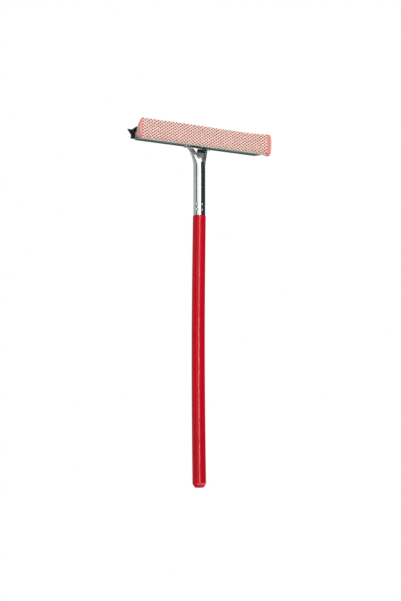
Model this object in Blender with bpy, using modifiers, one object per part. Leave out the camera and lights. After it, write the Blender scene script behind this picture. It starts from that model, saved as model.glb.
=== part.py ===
"""Windscreen squeegee: a wooden handle in a crimped steel ferrule, and a pressed steel head with a rubber
blade behind and a netted sponge in front.

Metres, +Z up along the handle. The origin is the middle of the handle's flat lower end, X runs along the
blade and the sponge faces -Y.
"""
import math

import bmesh
import bpy
import numpy as np
from mathutils import Matrix

PART_NAME = "squeegee"

# Fits
CLEARANCE = 0.0003
WELD = 0.00001
CUT_OVERRUN = 0.002

# Handle
HANDLE_TOP_DIAMETER = 0.0183
HANDLE_BOTTOM_DIAMETER = 0.0189
HANDLE_LENGTH = 0.383
HANDLE_BOW = 0.0017
END_FACE_DIAMETER = 0.0116
END_CHAMFER_HEIGHT = 0.0052
SHOULDER_RADIUS = 0.0012
TENON_LENGTH = 0.030
HANDLE_STEPS = 28
HANDLE_RINGS = 12

# Ferrule
FERRULE_DIAMETER = 0.0168
FERRULE_LENGTH = 0.1009
FERRULE_SHEET = 0.0008
WING_COLUMNS = 20
FLARE_HEIGHT = 0.029
FLARE_POWER = 1.5
LEAN_POWER = 3.0
MOUTH_WIDTH = 0.0324
MOUTH_DEPTH = 0.0112
FLANGE_WIDTH = 0.005
# Each notch has a depth, a half angle at its top, a power of its height and a share of extra swell.
FRONT_NOTCH_DEPTH = 0.0242
FRONT_NOTCH_ANGLE = math.radians(42.5)
FRONT_NOTCH_POWER = 0.5
FRONT_NOTCH_SWELL_SHARE = 0.81
BACK_NOTCH_DEPTH = 0.0072
BACK_NOTCH_ANGLE = math.radians(13.0)
BACK_NOTCH_POWER = 1.0
BACK_NOTCH_SWELL_SHARE = 0.0

# Crimp dimples of the ferrule
DIMPLE_COUNT = 8
DIMPLE_PHASE = math.radians(-4.5)
DIMPLE_RINGS = 2
DIMPLE_RING_HEIGHT = 0.008
DIMPLE_RING_SPACING = 0.008
DIMPLE_WIDTH = 0.0045
DIMPLE_HEIGHT = 0.006
DIMPLE_DEPTH = 0.0009

# Rivets that hold the ferrule's wings under the channel
RIVET_SHANK_DIAMETER = 0.0024
RIVET_HEAD_DIAMETER = 0.0042
RIVET_HEAD_HEIGHT = 0.0012
RIVET_STEPS = 20
RIVET_DOME_SHARES = ((1.0, 0.0), (0.98, 0.35), (0.82, 0.7), (0.5, 0.93))

# Blade channel
CHANNEL_LENGTH = 0.2032
CHANNEL_WIDTH = 0.011
CHANNEL_HEIGHT = 0.0075
CHANNEL_SHEET = 0.001
CHANNEL_BEND_RADIUS = 0.0012
CHANNEL_OFFSET = 0.0071
CRIMP_PITCH = 0.028
CRIMP_END_MARGIN = 0.01
CRIMP_LENGTH = 0.006
CRIMP_HEIGHT = 0.003
CRIMP_DEPTH = 0.0006
CLIP_LENGTH = 0.0066
CLIP_WIDTH = 0.0086

# Sponge clamp
CLAMP_SHEET = 0.0008
CLAMP_DEPTH = 0.0063
CLAMP_HEIGHT = 0.0076
CLAMP_RISE = 0.0017
CLAMP_BEND_RADIUS = 0.0009

# Rubber blade
BLADE_OVERHANG = 0.0019
BLADE_FOOT_HEIGHT = 0.0014
BLADE_FOOT_ROUND = 0.0005
BLADE_NECK_DEPTH = 0.0008
BLADE_NECK_SLOPE = 0.0006
LIP_REACH = 0.0142
BACK_LIP_RISE = 0.0168
FRONT_LIP_RISE = 0.0132
LIP_TIP = 0.0011
LIP_VALLEY_HEIGHT = 0.0115
LIP_FLANK_REACH = 0.0052
LIP_FLANK_HEIGHT = 0.0095
LIP_TOP_REACH = 0.006
LIP_TOP_HEIGHT = 0.012
CORE_HEIGHT = 0.0082
CORE_HALF_WIDTH = 0.0018
CORE_HALF_HEIGHT = 0.0026
BLADE_CURVE_STEPS = 5
CORE_STEPS = 12

# Sponge
SPONGE_OVERHANG = 0.0037
SPONGE_DEPTH = 0.0175
SPONGE_HEIGHT = 0.0295
SPONGE_DROP = 0.005
SPONGE_END_ROUND = 0.0024
SPONGE_END_STEPS = 4
SPONGE_PATH_STEPS = 8
SPONGE_BACK_STEPS = 1
# Body outline from the clamp's upper jaw round the front to its lower jaw, as shares of the sponge's
# depth in front of the clamp and of its height above its underside.
SPONGE_OUTLINE_SHARES = (
    (0.19, 0.62), (0.33, 0.735), (0.52, 0.83), (0.74, 0.92), (0.89, 0.98), (0.98, 0.94), (1.0, 0.80),
    (1.0, 0.50), (0.99, 0.25), (0.95, 0.09), (0.82, 0.01), (0.60, 0.01), (0.34, 0.08), (0.12, 0.17),
)

# Net over the sponge
NET_THICKNESS = 0.0008
NET_STRAND = 0.0017
NET_COLUMNS = 19
NET_ROWS = 8
NET_FROM_SHARE = 0.05
NET_TO_SHARE = 0.95
NET_HEM = 0.0015
NET_MARGIN = 0.0055

# Lengths, heights and places that follow from the sizes above
BLADE_LENGTH = CHANNEL_LENGTH + 2 * BLADE_OVERHANG
SPONGE_LENGTH = CHANNEL_LENGTH + 2 * SPONGE_OVERHANG
NET_LENGTH = SPONGE_LENGTH - 2 * NET_MARGIN
FERRULE_BOTTOM = HANDLE_LENGTH + CLEARANCE
FERRULE_TOP = FERRULE_BOTTOM + FERRULE_LENGTH
CHANNEL_BOTTOM = FERRULE_TOP + CLEARANCE
CHANNEL_FRONT = CHANNEL_OFFSET - CHANNEL_WIDTH / 2
BLADE_BOTTOM = CHANNEL_BOTTOM + CHANNEL_SHEET + CLEARANCE
CLAMP_BACK = CHANNEL_FRONT - CLEARANCE
CLAMP_FRONT = CLAMP_BACK - CLAMP_DEPTH
CLAMP_BOTTOM = CHANNEL_BOTTOM + CLAMP_RISE
SPONGE_BACK = CLAMP_FRONT - CLEARANCE
SPONGE_BOTTOM = CHANNEL_BOTTOM - SPONGE_DROP
TENON_DIAMETER = FERRULE_DIAMETER - 2 * (FERRULE_SHEET + DIMPLE_DEPTH + CLEARANCE)
RIVET_REACH = (MOUTH_WIDTH + FLANGE_WIDTH) / 2

# Base colour, metallic, roughness
PAINTED_WOOD = ((0.53, 0.004, 0.012), 0.0, 0.25)
PLATED_STEEL = ((0.72, 0.74, 0.74), 1.0, 0.18)
BLACK_RUBBER = ((0.012, 0.013, 0.014), 0.0, 0.55)
CORAL_FOAM = ((0.83, 0.24, 0.18), 0.0, 0.9)
CREAM_NET = ((0.87, 0.79, 0.66), 0.0, 0.6)


def clear_scene():
    """Remove whatever the opened file holds."""
    for item in list(bpy.data.objects):
        bpy.data.objects.remove(item, do_unlink=True)
    for group in list(bpy.data.collections):
        bpy.data.collections.remove(group)


def make_collection(name):
    group = bpy.data.collections.new(name)
    bpy.context.scene.collection.children.link(group)
    return group


def material(name, finish):
    """Principled material from a (colour, metallic, roughness) finish."""
    colour, metallic, roughness = finish
    made = bpy.data.materials.new(name)
    made.use_nodes = True
    shader = made.node_tree.nodes["Principled BSDF"]
    shader.inputs["Base Color"].default_value = (*colour, 1.0)
    shader.inputs["Metallic"].default_value = metallic
    shader.inputs["Roughness"].default_value = roughness
    return made


def add_mesh(name, vertices, faces, group, finish=None):
    """Object from computed points and faces."""
    mesh = bpy.data.meshes.new(name)
    mesh.from_pydata([tuple(point) for point in vertices], [], faces)
    mesh.update()
    made = bpy.data.objects.new(name, mesh)
    group.objects.link(made)
    if finish is not None:
        mesh.materials.append(material(name, finish))
    return made


def shade(made, angle=math.radians(35.0)):
    """Smooth shading with creases kept sharp."""
    made.data.shade_smooth()
    made.data.set_sharp_from_angle(angle=angle)


def bake(made, name, group, finish):
    """Replace an object with a plain mesh of what it evaluates to."""
    bpy.context.view_layer.update()
    evaluated = made.evaluated_get(bpy.context.evaluated_depsgraph_get())
    mesh = bpy.data.meshes.new_from_object(evaluated)
    mesh.transform(made.matrix_world)
    mesh.materials.clear()
    mesh.materials.append(material(name, finish))
    bpy.data.objects.remove(made, do_unlink=True)
    work = bmesh.new()
    work.from_mesh(mesh)
    bmesh.ops.remove_doubles(work, verts=work.verts, dist=WELD)
    bmesh.ops.recalc_face_normals(work, faces=work.faces)
    work.to_mesh(mesh)
    work.free()
    baked = bpy.data.objects.new(name, mesh)
    group.objects.link(baked)
    return baked


def turned(name, profile, steps, group, finish):
    """Solid of revolution about Z; the (radius, height) profile runs from its top to its bottom."""
    points = [(radius, 0.0, height) for radius, height in profile]
    edges = [(index, index + 1) for index in range(len(points) - 1)]
    mesh = bpy.data.meshes.new(name)
    mesh.from_pydata(points, edges, [])
    made = bpy.data.objects.new(name, mesh)
    group.objects.link(made)
    screw = made.modifiers.new("Turn", "SCREW")
    screw.steps = steps
    screw.render_steps = steps
    screw.use_merge_vertices = True
    screw.merge_threshold = WELD
    screw.use_smooth_shade = True
    return bake(made, name, group, finish)


def solidify(made, thickness, offset=0.0):
    """Give an open surface its wall."""
    wall = made.modifiers.new("Wall", "SOLIDIFY")
    wall.thickness = thickness
    wall.offset = offset
    wall.use_even_offset = True


def cut(made, cutter):
    """Take a cutter's shape out of an object."""
    hole = made.modifiers.new("Cut " + cutter.name, "BOOLEAN")
    hole.operation = "DIFFERENCE"
    hole.solver = "EXACT"
    hole.object = cutter


def hide_cutter(cutter):
    cutter.hide_render = True
    cutter.display_type = "WIRE"


def grid_faces(rows, columns):
    """Quads of a grid of points stored row by row."""
    return [
        (row * columns + column, row * columns + column + 1,
         (row + 1) * columns + column + 1, (row + 1) * columns + column)
        for row in range(rows - 1)
        for column in range(columns - 1)
    ]


def arc(centre, radius, start, end, steps):
    """Points on an arc from one angle to another, both included."""
    return [
        (centre[0] + radius * math.cos(angle), centre[1] + radius * math.sin(angle))
        for angle in np.linspace(start, end, steps + 1)
    ]


def quadratic(start, control, end, steps):
    """Points on a quadratic curve, without its start."""
    return [
        tuple((1 - t) ** 2 * a + 2 * t * (1 - t) * b + t ** 2 * c for a, b, c in zip(start, control, end))
        for t in np.linspace(0.0, 1.0, steps + 1)[1:]
    ]


def bump(distance, reach):
    """Smooth hill: 1 at no distance and 0 from the reach on."""
    return math.cos(math.pi / 2 * min(1.0, abs(distance) / reach)) ** 2


def build_handle(group):
    """Tapered dowel with a chamfered end and a tenon, bowed a little towards -X."""
    radius = HANDLE_TOP_DIAMETER / 2
    foot = HANDLE_BOTTOM_DIAMETER / 2
    tenon = TENON_DIAMETER / 2
    chamfer_round = END_CHAMFER_HEIGHT / 4
    profile = [(0.0, HANDLE_LENGTH + TENON_LENGTH), (tenon - SHOULDER_RADIUS, HANDLE_LENGTH + TENON_LENGTH),
               (tenon, HANDLE_LENGTH + TENON_LENGTH - SHOULDER_RADIUS), (tenon, HANDLE_LENGTH)]
    shoulder_centre = (radius - SHOULDER_RADIUS, HANDLE_LENGTH - SHOULDER_RADIUS)
    profile += arc(shoulder_centre, SHOULDER_RADIUS, math.pi / 2, 0.0, 3)
    body_top = HANDLE_LENGTH - SHOULDER_RADIUS
    body_bottom = END_CHAMFER_HEIGHT + chamfer_round
    heights = np.linspace(body_top, body_bottom, HANDLE_RINGS)
    radii = np.linspace(radius, foot, HANDLE_RINGS)
    profile += list(zip(radii[1:], heights[1:]))
    chamfer = quadratic((foot, body_bottom), (foot, END_CHAMFER_HEIGHT - chamfer_round),
                        (END_FACE_DIAMETER / 2, 0.0), 4)
    profile += chamfer
    profile.append((0.0, 0.0))
    handle = turned("handle", profile, HANDLE_STEPS, group, PAINTED_WOOD)
    for vertex in handle.data.vertices:
        share = min(1.0, vertex.co.z / HANDLE_LENGTH)
        vertex.co.x -= HANDLE_BOW * math.sin(math.pi * share)
    shade(handle)
    return handle


def notch_angle(height, depth, top_angle, power, swell_share):
    """Half angle that a notch takes out of the tube at a height; it may swell below its top."""
    top = FERRULE_TOP - FERRULE_SHEET / 2
    share = (height - (top - depth)) / depth
    if share <= 0.0:
        return 0.0
    return top_angle * share ** power * (1.0 + swell_share * (1.0 - share))


def ferrule_rows():
    """Heights of the ferrule's rows of points, with the share of the flange that each has."""
    middle_top = FERRULE_TOP - FERRULE_SHEET / 2
    flare_bottom = middle_top - FLARE_HEIGHT
    front_notch = middle_top - FRONT_NOTCH_DEPTH
    back_notch = middle_top - BACK_NOTCH_DEPTH
    heights = [FERRULE_BOTTOM]
    for ring in range(DIMPLE_RINGS):
        centre = FERRULE_BOTTOM + DIMPLE_RING_HEIGHT + ring * DIMPLE_RING_SPACING
        heights += list(centre + DIMPLE_HEIGHT * np.linspace(-0.5, 0.5, 5))
    heights += [flare_bottom, (flare_bottom + front_notch) / 2]
    heights += list(np.linspace(front_notch, back_notch, 7))
    heights += list(np.linspace(back_notch, middle_top, 4))[1:]
    return [(height, 0.0) for height in heights] + [(middle_top, 1.0)]


def dimple_depth(signed_angle, height):
    """How far the crimps push the tube's wall in."""
    pitch = 2 * math.pi / DIMPLE_COUNT
    reach = DIMPLE_WIDTH / FERRULE_DIAMETER
    off_centre = (signed_angle - DIMPLE_PHASE + pitch / 2) % pitch - pitch / 2
    depth = 0.0
    for ring in range(DIMPLE_RINGS):
        centre = FERRULE_BOTTOM + DIMPLE_RING_HEIGHT + ring * DIMPLE_RING_SPACING
        depth += DIMPLE_DEPTH * bump(off_centre, reach) * bump(height - centre, DIMPLE_HEIGHT / 2)
    return depth


def wing_point(side, column_share, height, flange_share):
    """Point on the middle of the ferrule's wall, on its left or right half.

    The tube keeps its radius up to the flare. There its half width grows with a power of the height, its
    depth shrinks to the mouth's, and it leans back until it is centred under the channel.
    """
    radius = (FERRULE_DIAMETER - FERRULE_SHEET) / 2
    middle_top = FERRULE_TOP - FERRULE_SHEET / 2
    opened = max(0.0, (height - middle_top + FLARE_HEIGHT) / FLARE_HEIGHT)
    front_angle = notch_angle(height, FRONT_NOTCH_DEPTH, FRONT_NOTCH_ANGLE, FRONT_NOTCH_POWER,
                              FRONT_NOTCH_SWELL_SHARE)
    back_angle = notch_angle(height, BACK_NOTCH_DEPTH, BACK_NOTCH_ANGLE, BACK_NOTCH_POWER,
                             BACK_NOTCH_SWELL_SHARE)
    angle = front_angle + column_share * (math.pi - front_angle - back_angle)
    push = dimple_depth(side * angle, height)
    half_width = radius - push + (MOUTH_WIDTH / 2 - radius) * opened ** FLARE_POWER
    half_depth = radius - push + ((MOUTH_DEPTH - FERRULE_SHEET) / 2 - radius) * opened
    half_width += flange_share * FLANGE_WIDTH
    middle = CHANNEL_OFFSET * opened ** LEAN_POWER
    return (side * half_width * math.sin(angle), middle - half_depth * math.cos(angle), height)


def build_ferrule(group, cutters):
    """Rolled tube whose top is slit front and back and spread into two riveted wings."""
    rows = ferrule_rows()
    columns = WING_COLUMNS + 1
    vertices = []
    faces = []
    for side in (-1, 1):
        first = len(vertices)
        for height, flange_share in rows:
            for column in range(columns):
                vertices.append(wing_point(side, column / WING_COLUMNS, height, flange_share))
        for face in grid_faces(len(rows), columns):
            shifted = [first + index for index in face]
            faces.append(shifted if side > 0 else shifted[::-1])
    ferrule = add_mesh("ferrule", vertices, faces, group, PLATED_STEEL)
    work = bmesh.new()
    work.from_mesh(ferrule.data)
    bmesh.ops.remove_doubles(work, verts=work.verts, dist=WELD)
    work.to_mesh(ferrule.data)
    work.free()
    shade(ferrule)
    solidify(ferrule, FERRULE_SHEET)
    for cutter in cutters:
        cut(ferrule, cutter)
    return ferrule


def rivet_place(side):
    return (side * RIVET_REACH, CHANNEL_OFFSET, 0.0)


def rivet_hole_cutter(side, group):
    """Cylinder through the ferrule's flange and the channel's web."""
    height = FERRULE_SHEET + CLEARANCE + CHANNEL_SHEET + 2 * CUT_OVERRUN
    middle = FERRULE_TOP - FERRULE_SHEET - CUT_OVERRUN + height / 2
    work = bmesh.new()
    bmesh.ops.create_cone(
        work, cap_ends=True, segments=RIVET_STEPS, depth=height,
        radius1=RIVET_SHANK_DIAMETER / 2 + CLEARANCE, radius2=RIVET_SHANK_DIAMETER / 2 + CLEARANCE)
    bmesh.ops.translate(work, verts=work.verts, vec=(*rivet_place(side)[:2], middle))
    mesh = bpy.data.meshes.new("rivet_hole")
    work.to_mesh(mesh)
    work.free()
    cutter = bpy.data.objects.new("rivet_hole_" + ("left" if side < 0 else "right"), mesh)
    group.objects.link(cutter)
    hide_cutter(cutter)
    return cutter


def build_rivet(name, side, group):
    """Rivet with a domed head under the wing and a shank set flush with the channel's web."""
    shank = RIVET_SHANK_DIAMETER / 2
    head = RIVET_HEAD_DIAMETER / 2
    shank_top = CHANNEL_BOTTOM + CHANNEL_SHEET
    head_top = FERRULE_TOP - FERRULE_SHEET - CLEARANCE
    profile = [(0.0, shank_top), (shank, shank_top), (shank, head_top)]
    profile += [(head * across, head_top - RIVET_HEAD_HEIGHT * down) for across, down in RIVET_DOME_SHARES]
    profile.append((0.0, head_top - RIVET_HEAD_HEIGHT))
    rivet = turned(name, profile, RIVET_STEPS, group, PLATED_STEEL)
    rivet.location = rivet_place(side)
    shade(rivet)
    return rivet


def crimp_places():
    """Middles of the crimps: one at mid length and as many each way as the channel has room for."""
    each_way = int((CHANNEL_LENGTH / 2 - CRIMP_END_MARGIN) / CRIMP_PITCH)
    return [index * CRIMP_PITCH for index in range(-each_way, each_way + 1)]


def crimp_stations():
    """Stations along the channel, close together at each crimp."""
    stations = [-CHANNEL_LENGTH / 2]
    for centre in crimp_places():
        stations += list(centre + CRIMP_LENGTH * np.linspace(-0.5, 0.5, 5))
    return stations + [CHANNEL_LENGTH / 2]


def crimp_depth(station, height):
    """How far the crimps push the channel's walls in."""
    centre_height = CHANNEL_BOTTOM + CHANNEL_HEIGHT / 2
    along = max(bump(station - centre, CRIMP_LENGTH / 2) for centre in crimp_places())
    return CRIMP_DEPTH * along * bump(height - centre_height, CRIMP_HEIGHT / 2)


def channel_profile():
    """Middle line of the channel's U section, (y, z), from the front wall's top to the back wall's."""
    half = (CHANNEL_WIDTH - CHANNEL_SHEET) / 2
    floor = CHANNEL_BOTTOM + CHANNEL_SHEET / 2
    top = CHANNEL_BOTTOM + CHANNEL_HEIGHT
    centre_height = CHANNEL_BOTTOM + CHANNEL_HEIGHT / 2
    radius = CHANNEL_BEND_RADIUS
    wall = [top, centre_height + CRIMP_HEIGHT / 2, centre_height]
    front = [(-half, height) for height in wall]
    front += arc((-half + radius, floor + radius), radius, math.pi, 3 * math.pi / 2, 3)
    back = [(-across, height) for across, height in reversed(front)]
    return [(CHANNEL_OFFSET + across, height) for across, height in front + back]


def build_channel(group, cutters):
    """Pressed U channel, its walls crimped into the blade's neck."""
    profile = channel_profile()
    vertices = []
    for station in crimp_stations():
        for across, height in profile:
            inward = math.copysign(crimp_depth(station, height), CHANNEL_OFFSET - across)
            vertices.append((station, across + inward, height))
    faces = grid_faces(len(vertices) // len(profile), len(profile))
    channel = add_mesh("blade_channel", vertices, faces, group, PLATED_STEEL)
    shade(channel)
    solidify(channel, CHANNEL_SHEET)
    for cutter in cutters:
        cut(channel, cutter)
    return channel


def corner_clip_cutter(side, group):
    """Prism that clips the channel's back corner, leaving the blade's end open."""
    half = CHANNEL_LENGTH / 2
    back = CHANNEL_OFFSET + CHANNEL_WIDTH / 2
    slope = CLIP_WIDTH / CLIP_LENGTH
    reach = CUT_OVERRUN * slope
    corners = [
        (half + CUT_OVERRUN, back - CLIP_WIDTH - reach),
        (half + CUT_OVERRUN, back + reach),
        (half - CLIP_LENGTH - CUT_OVERRUN, back + reach),
    ]
    low = CHANNEL_BOTTOM - CUT_OVERRUN
    high = CHANNEL_BOTTOM + CHANNEL_HEIGHT + CUT_OVERRUN
    vertices = [(side * x, y, low) for x, y in corners] + [(side * x, y, high) for x, y in corners]
    faces = [(2, 1, 0), (3, 4, 5), (0, 1, 4, 3), (1, 2, 5, 4), (2, 0, 3, 5)]
    if side < 0:
        faces = [face[::-1] for face in faces]
    cutter = add_mesh("corner_clip_" + ("left" if side < 0 else "right"), vertices, faces, group)
    hide_cutter(cutter)
    return cutter


def build_clamp(group):
    """C section strip that pinches the sponge's tail, open to the front."""
    half = CLAMP_SHEET / 2
    radius = CLAMP_BEND_RADIUS
    low = CLAMP_BOTTOM + half
    high = CLAMP_BOTTOM + CLAMP_HEIGHT - half
    back = CLAMP_BACK - half
    profile = [(CLAMP_FRONT, high)]
    profile += arc((back - radius, high - radius), radius, math.pi / 2, 0.0, 3)
    profile += arc((back - radius, low + radius), radius, 0.0, -math.pi / 2, 3)
    profile.append((CLAMP_FRONT, low))
    stations = (-CHANNEL_LENGTH / 2, CHANNEL_LENGTH / 2)
    vertices = [(station, across, height) for station in stations for across, height in profile]
    clamp = add_mesh("sponge_clamp", vertices, grid_faces(len(stations), len(profile)), group, PLATED_STEEL)
    shade(clamp)
    solidify(clamp, CLAMP_SHEET)
    return clamp


def blade_side(rise):
    """One side of the blade's section, from the middle of its foot to the valley between the lips."""
    wide = CHANNEL_WIDTH / 2 - CHANNEL_SHEET - CLEARANCE
    narrow = wide - BLADE_NECK_DEPTH
    neck_top = CHANNEL_HEIGHT - CHANNEL_SHEET - CLEARANCE
    neck_bottom = BLADE_FOOT_HEIGHT + BLADE_NECK_SLOPE
    side = arc((wide - BLADE_FOOT_ROUND, BLADE_FOOT_ROUND), BLADE_FOOT_ROUND, -math.pi / 2, 0.0, 2)
    side += [(wide, BLADE_FOOT_HEIGHT), (narrow, neck_bottom), (narrow, neck_top - BLADE_NECK_SLOPE),
             (wide, neck_top)]
    side += quadratic(side[-1], (LIP_FLANK_REACH, LIP_FLANK_HEIGHT), (LIP_REACH, rise - LIP_TIP),
                      BLADE_CURVE_STEPS)
    side.append((LIP_REACH, rise))
    side += quadratic(side[-1], (LIP_TOP_REACH, LIP_TOP_HEIGHT), (0.0, LIP_VALLEY_HEIGHT), BLADE_CURVE_STEPS)
    return side


def build_blade(group):
    """Extruded rubber blade with two lips, a crimped neck and a hollow core."""
    back = blade_side(BACK_LIP_RISE)
    front = [(-across, height) for across, height in blade_side(FRONT_LIP_RISE)][::-1]
    outline = back + front[1:]
    core = [
        (CORE_HALF_WIDTH * math.cos(angle), CORE_HEIGHT + CORE_HALF_HEIGHT * math.sin(angle))
        for angle in np.linspace(0.0, 2 * math.pi, CORE_STEPS, endpoint=False)
    ]
    curve = bpy.data.curves.new("wiper_blade", "CURVE")
    curve.dimensions = "2D"
    curve.fill_mode = "BOTH"
    curve.extrude = BLADE_LENGTH / 2
    for loop in (outline, core):
        spline = curve.splines.new("POLY")
        spline.points.add(len(loop) - 1)
        spline.use_cyclic_u = True
        for point, (across, height) in zip(spline.points, loop):
            point.co = (across, height, 0.0, 1.0)
    drawn = bpy.data.objects.new("wiper_blade_section", curve)
    group.objects.link(drawn)
    drawn.location = (0.0, CHANNEL_OFFSET, BLADE_BOTTOM)
    drawn.rotation_euler = (math.pi / 2, 0.0, math.pi / 2)
    blade = bake(drawn, "wiper_blade", group, BLACK_RUBBER)
    shade(blade)
    return blade


def smooth_path(points, steps):
    """Catmull-Rom curve through the points, as a dense row of points."""
    points = np.array(points)
    padded = np.vstack([2 * points[0] - points[1], points, 2 * points[-1] - points[-2]])
    dense = []
    for a, b, c, d in zip(padded, padded[1:], padded[2:], padded[3:]):
        for t in np.arange(steps) / steps:
            dense.append(0.5 * (2 * b + (c - a) * t + (2 * a - 5 * b + 4 * c - d) * t ** 2
                                + (3 * b - a - 3 * c + d) * t ** 3))
    dense.append(points[-1])
    return np.array(dense)


def sponge_path():
    """Points (y, z) round the sponge's body, at equal steps where the net lies on it."""
    tail_top = CLAMP_BOTTOM + CLAMP_HEIGHT - CLAMP_SHEET - CLEARANCE
    tail_bottom = CLAMP_BOTTOM + CLAMP_SHEET + CLEARANCE
    points = [(SPONGE_BACK, tail_top)]
    points += [(SPONGE_BACK - SPONGE_DEPTH * depth, SPONGE_BOTTOM + SPONGE_HEIGHT * height)
               for depth, height in SPONGE_OUTLINE_SHARES]
    points.append((SPONGE_BACK, tail_bottom))
    dense = smooth_path(points, SPONGE_PATH_STEPS)
    run = np.concatenate([[0.0], np.cumsum(np.linalg.norm(np.diff(dense, axis=0), axis=1))])
    shares = np.concatenate([
        np.linspace(0.0, NET_FROM_SHARE, SPONGE_BACK_STEPS + 1)[:-1],
        np.linspace(NET_FROM_SHARE, NET_TO_SHARE, 2 * NET_ROWS + 1),
        np.linspace(NET_TO_SHARE, 1.0, SPONGE_BACK_STEPS + 1)[1:],
    ])
    wanted = shares * run[-1]
    return np.column_stack([np.interp(wanted, run, dense[:, 0]), np.interp(wanted, run, dense[:, 1])])


def build_sponge(group):
    """Foam block: a rounded body in front of a tail that the clamp pinches, with rounded ends."""
    body = sponge_path()
    tail_back = CLAMP_BACK - CLAMP_SHEET - CLEARANCE
    ring = np.vstack([[(tail_back, body[0][1])], body, [(tail_back, body[-1][1])]])
    centre = ring.mean(axis=0)
    half = SPONGE_LENGTH / 2
    stations = []
    for angle in np.linspace(0.0, math.pi / 2, SPONGE_END_STEPS + 1)[1:]:
        inset = SPONGE_END_ROUND * (1.0 - math.sin(angle))
        stations.append((half - SPONGE_END_ROUND * (1.0 - math.cos(math.pi / 2 - angle)), inset))
    ends = [(half, SPONGE_END_ROUND / 2)] + stations
    ordered = [(-x, inset) for x, inset in ends] + [(x, inset) for x, inset in reversed(ends)]
    vertices = []
    for x, inset in ordered:
        for across, height in ring:
            away = np.array([across, height]) - centre
            scale = 1.0 - inset / SPONGE_HEIGHT
            placed = centre + away * scale
            vertices.append((x, placed[0], placed[1]))
    count = len(ring)
    faces = []
    for row in range(len(ordered) - 1):
        for column in range(count):
            after = (column + 1) % count
            faces.append((row * count + column, row * count + after,
                          (row + 1) * count + after, (row + 1) * count + column))
    faces.append(list(range(count))[::-1])
    faces.append([len(vertices) - count + column for column in range(count)])
    sponge = add_mesh("sponge", vertices, faces, group, CORAL_FOAM)
    work = bmesh.new()
    work.from_mesh(sponge.data)
    bmesh.ops.recalc_face_normals(work, faces=work.faces)
    work.to_mesh(sponge.data)
    work.free()
    shade(sponge, math.radians(60.0))
    return sponge


def mitred_normals(path):
    """Outward directions at the path's points, long enough to keep a parallel line's distance."""
    steps = np.diff(path, axis=0)
    flat = np.column_stack([steps[:, 1], -steps[:, 0]])
    flat /= np.linalg.norm(flat, axis=1)[:, None]
    before = np.vstack([flat[:1], flat])
    after = np.vstack([flat, flat[-1:]])
    middle = before + after
    return middle / np.sum(middle * before, axis=1)[:, None]


class NetLattice:
    """Net laid round the sponge's front.

    Knots sit where a place's column and row add up to an even number and gaps at the places between them.
    A gap on the border closes to one point, which gives the net its hem.
    """

    def __init__(self):
        first = SPONGE_BACK_STEPS
        self.path = sponge_path()[first:first + 2 * NET_ROWS + 1]
        self.outward = mitred_normals(self.path)
        self.columns = 2 * NET_COLUMNS
        self.rows = 2 * NET_ROWS
        self.step_x = (NET_LENGTH - 2 * NET_HEM) / self.columns
        self.step_y = float(np.linalg.norm(self.path[1] - self.path[0]))
        slant = math.hypot(self.step_x, self.step_y)
        self.inset_x = NET_STRAND / 2 * slant / self.step_y
        self.inset_row = NET_STRAND / 2 * slant / self.step_x / self.step_y
        self.points = []
        self.known = {}

    def has(self, column, row):
        return 0 <= column <= self.columns and 0 <= row <= self.rows

    def point(self, column, row, across, along):
        """Index of a corner of the gap at a place, or of the place itself on the border."""
        if not (0 < column < self.columns and 0 < row < self.rows):
            across = along = 0
        key = (column, row, across, along)
        if key not in self.known:
            hem = NET_HEM * ((column == self.columns) - (column == 0))
            x = (column - self.columns / 2) * self.step_x + hem + across * (self.step_x - self.inset_x)
            height = row + along * (1.0 - self.inset_row)
            lowest = min(int(height), self.rows - 1)
            blend = height - lowest
            place = self.path[lowest] * (1.0 - blend) + self.path[lowest + 1] * blend
            lift = self.outward[lowest] * (1.0 - blend) + self.outward[lowest + 1] * blend
            place = place + lift * CLEARANCE
            self.known[key] = len(self.points)
            self.points.append((x, place[0], place[1]))
        return self.known[key]

    def knot(self, column, row):
        """Faces of a knot, folded along the row that it sits on."""
        right = self.point(column + 1, row, -1, 0) if column < self.columns else None
        left = self.point(column - 1, row, 1, 0) if column > 0 else None
        above = self.point(column, row + 1, 0, -1) if row < self.rows else None
        below = self.point(column, row - 1, 0, 1) if row > 0 else None
        if right is None:
            right = self.point(column, row, 0, 0)
        if left is None:
            left = self.point(column, row, 0, 0)
        upper = [] if above is None else [(right, above, left)]
        lower = [] if below is None else [(left, below, right)]
        return upper + lower

    def strand(self, column, row, across):
        """Face of the strand that runs up from a knot to the next knot on its right or left."""
        lower = (column + across, row)
        upper = (column, row + 1)
        corners = [self.point(*lower, -across, 0), self.point(*lower, 0, 1),
                   self.point(*upper, across, 0), self.point(*upper, 0, -1)]
        return list(dict.fromkeys(corners))

    def faces(self):
        found = []
        for column in range(self.columns + 1):
            for row in range(column % 2, self.rows + 1, 2):
                found += self.knot(column, row)
                for across in (1, -1):
                    if self.has(column + across, row + 1):
                        found.append(self.strand(column, row, across))
        return [face for face in found if len(face) > 2]


def build_net(group):
    """Knotted diamond net stretched over the sponge."""
    lattice = NetLattice()
    faces = lattice.faces()
    net = add_mesh("net", lattice.points, faces, group, CREAM_NET)
    work = bmesh.new()
    work.from_mesh(net.data)
    bmesh.ops.recalc_face_normals(work, faces=work.faces)
    foremost = min(work.faces, key=lambda face: face.calc_center_median().y)
    if foremost.normal.y > 0.0:
        bmesh.ops.reverse_faces(work, faces=work.faces)
    work.to_mesh(net.data)
    work.free()
    solidify(net, NET_THICKNESS, offset=1.0)
    return net


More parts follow.
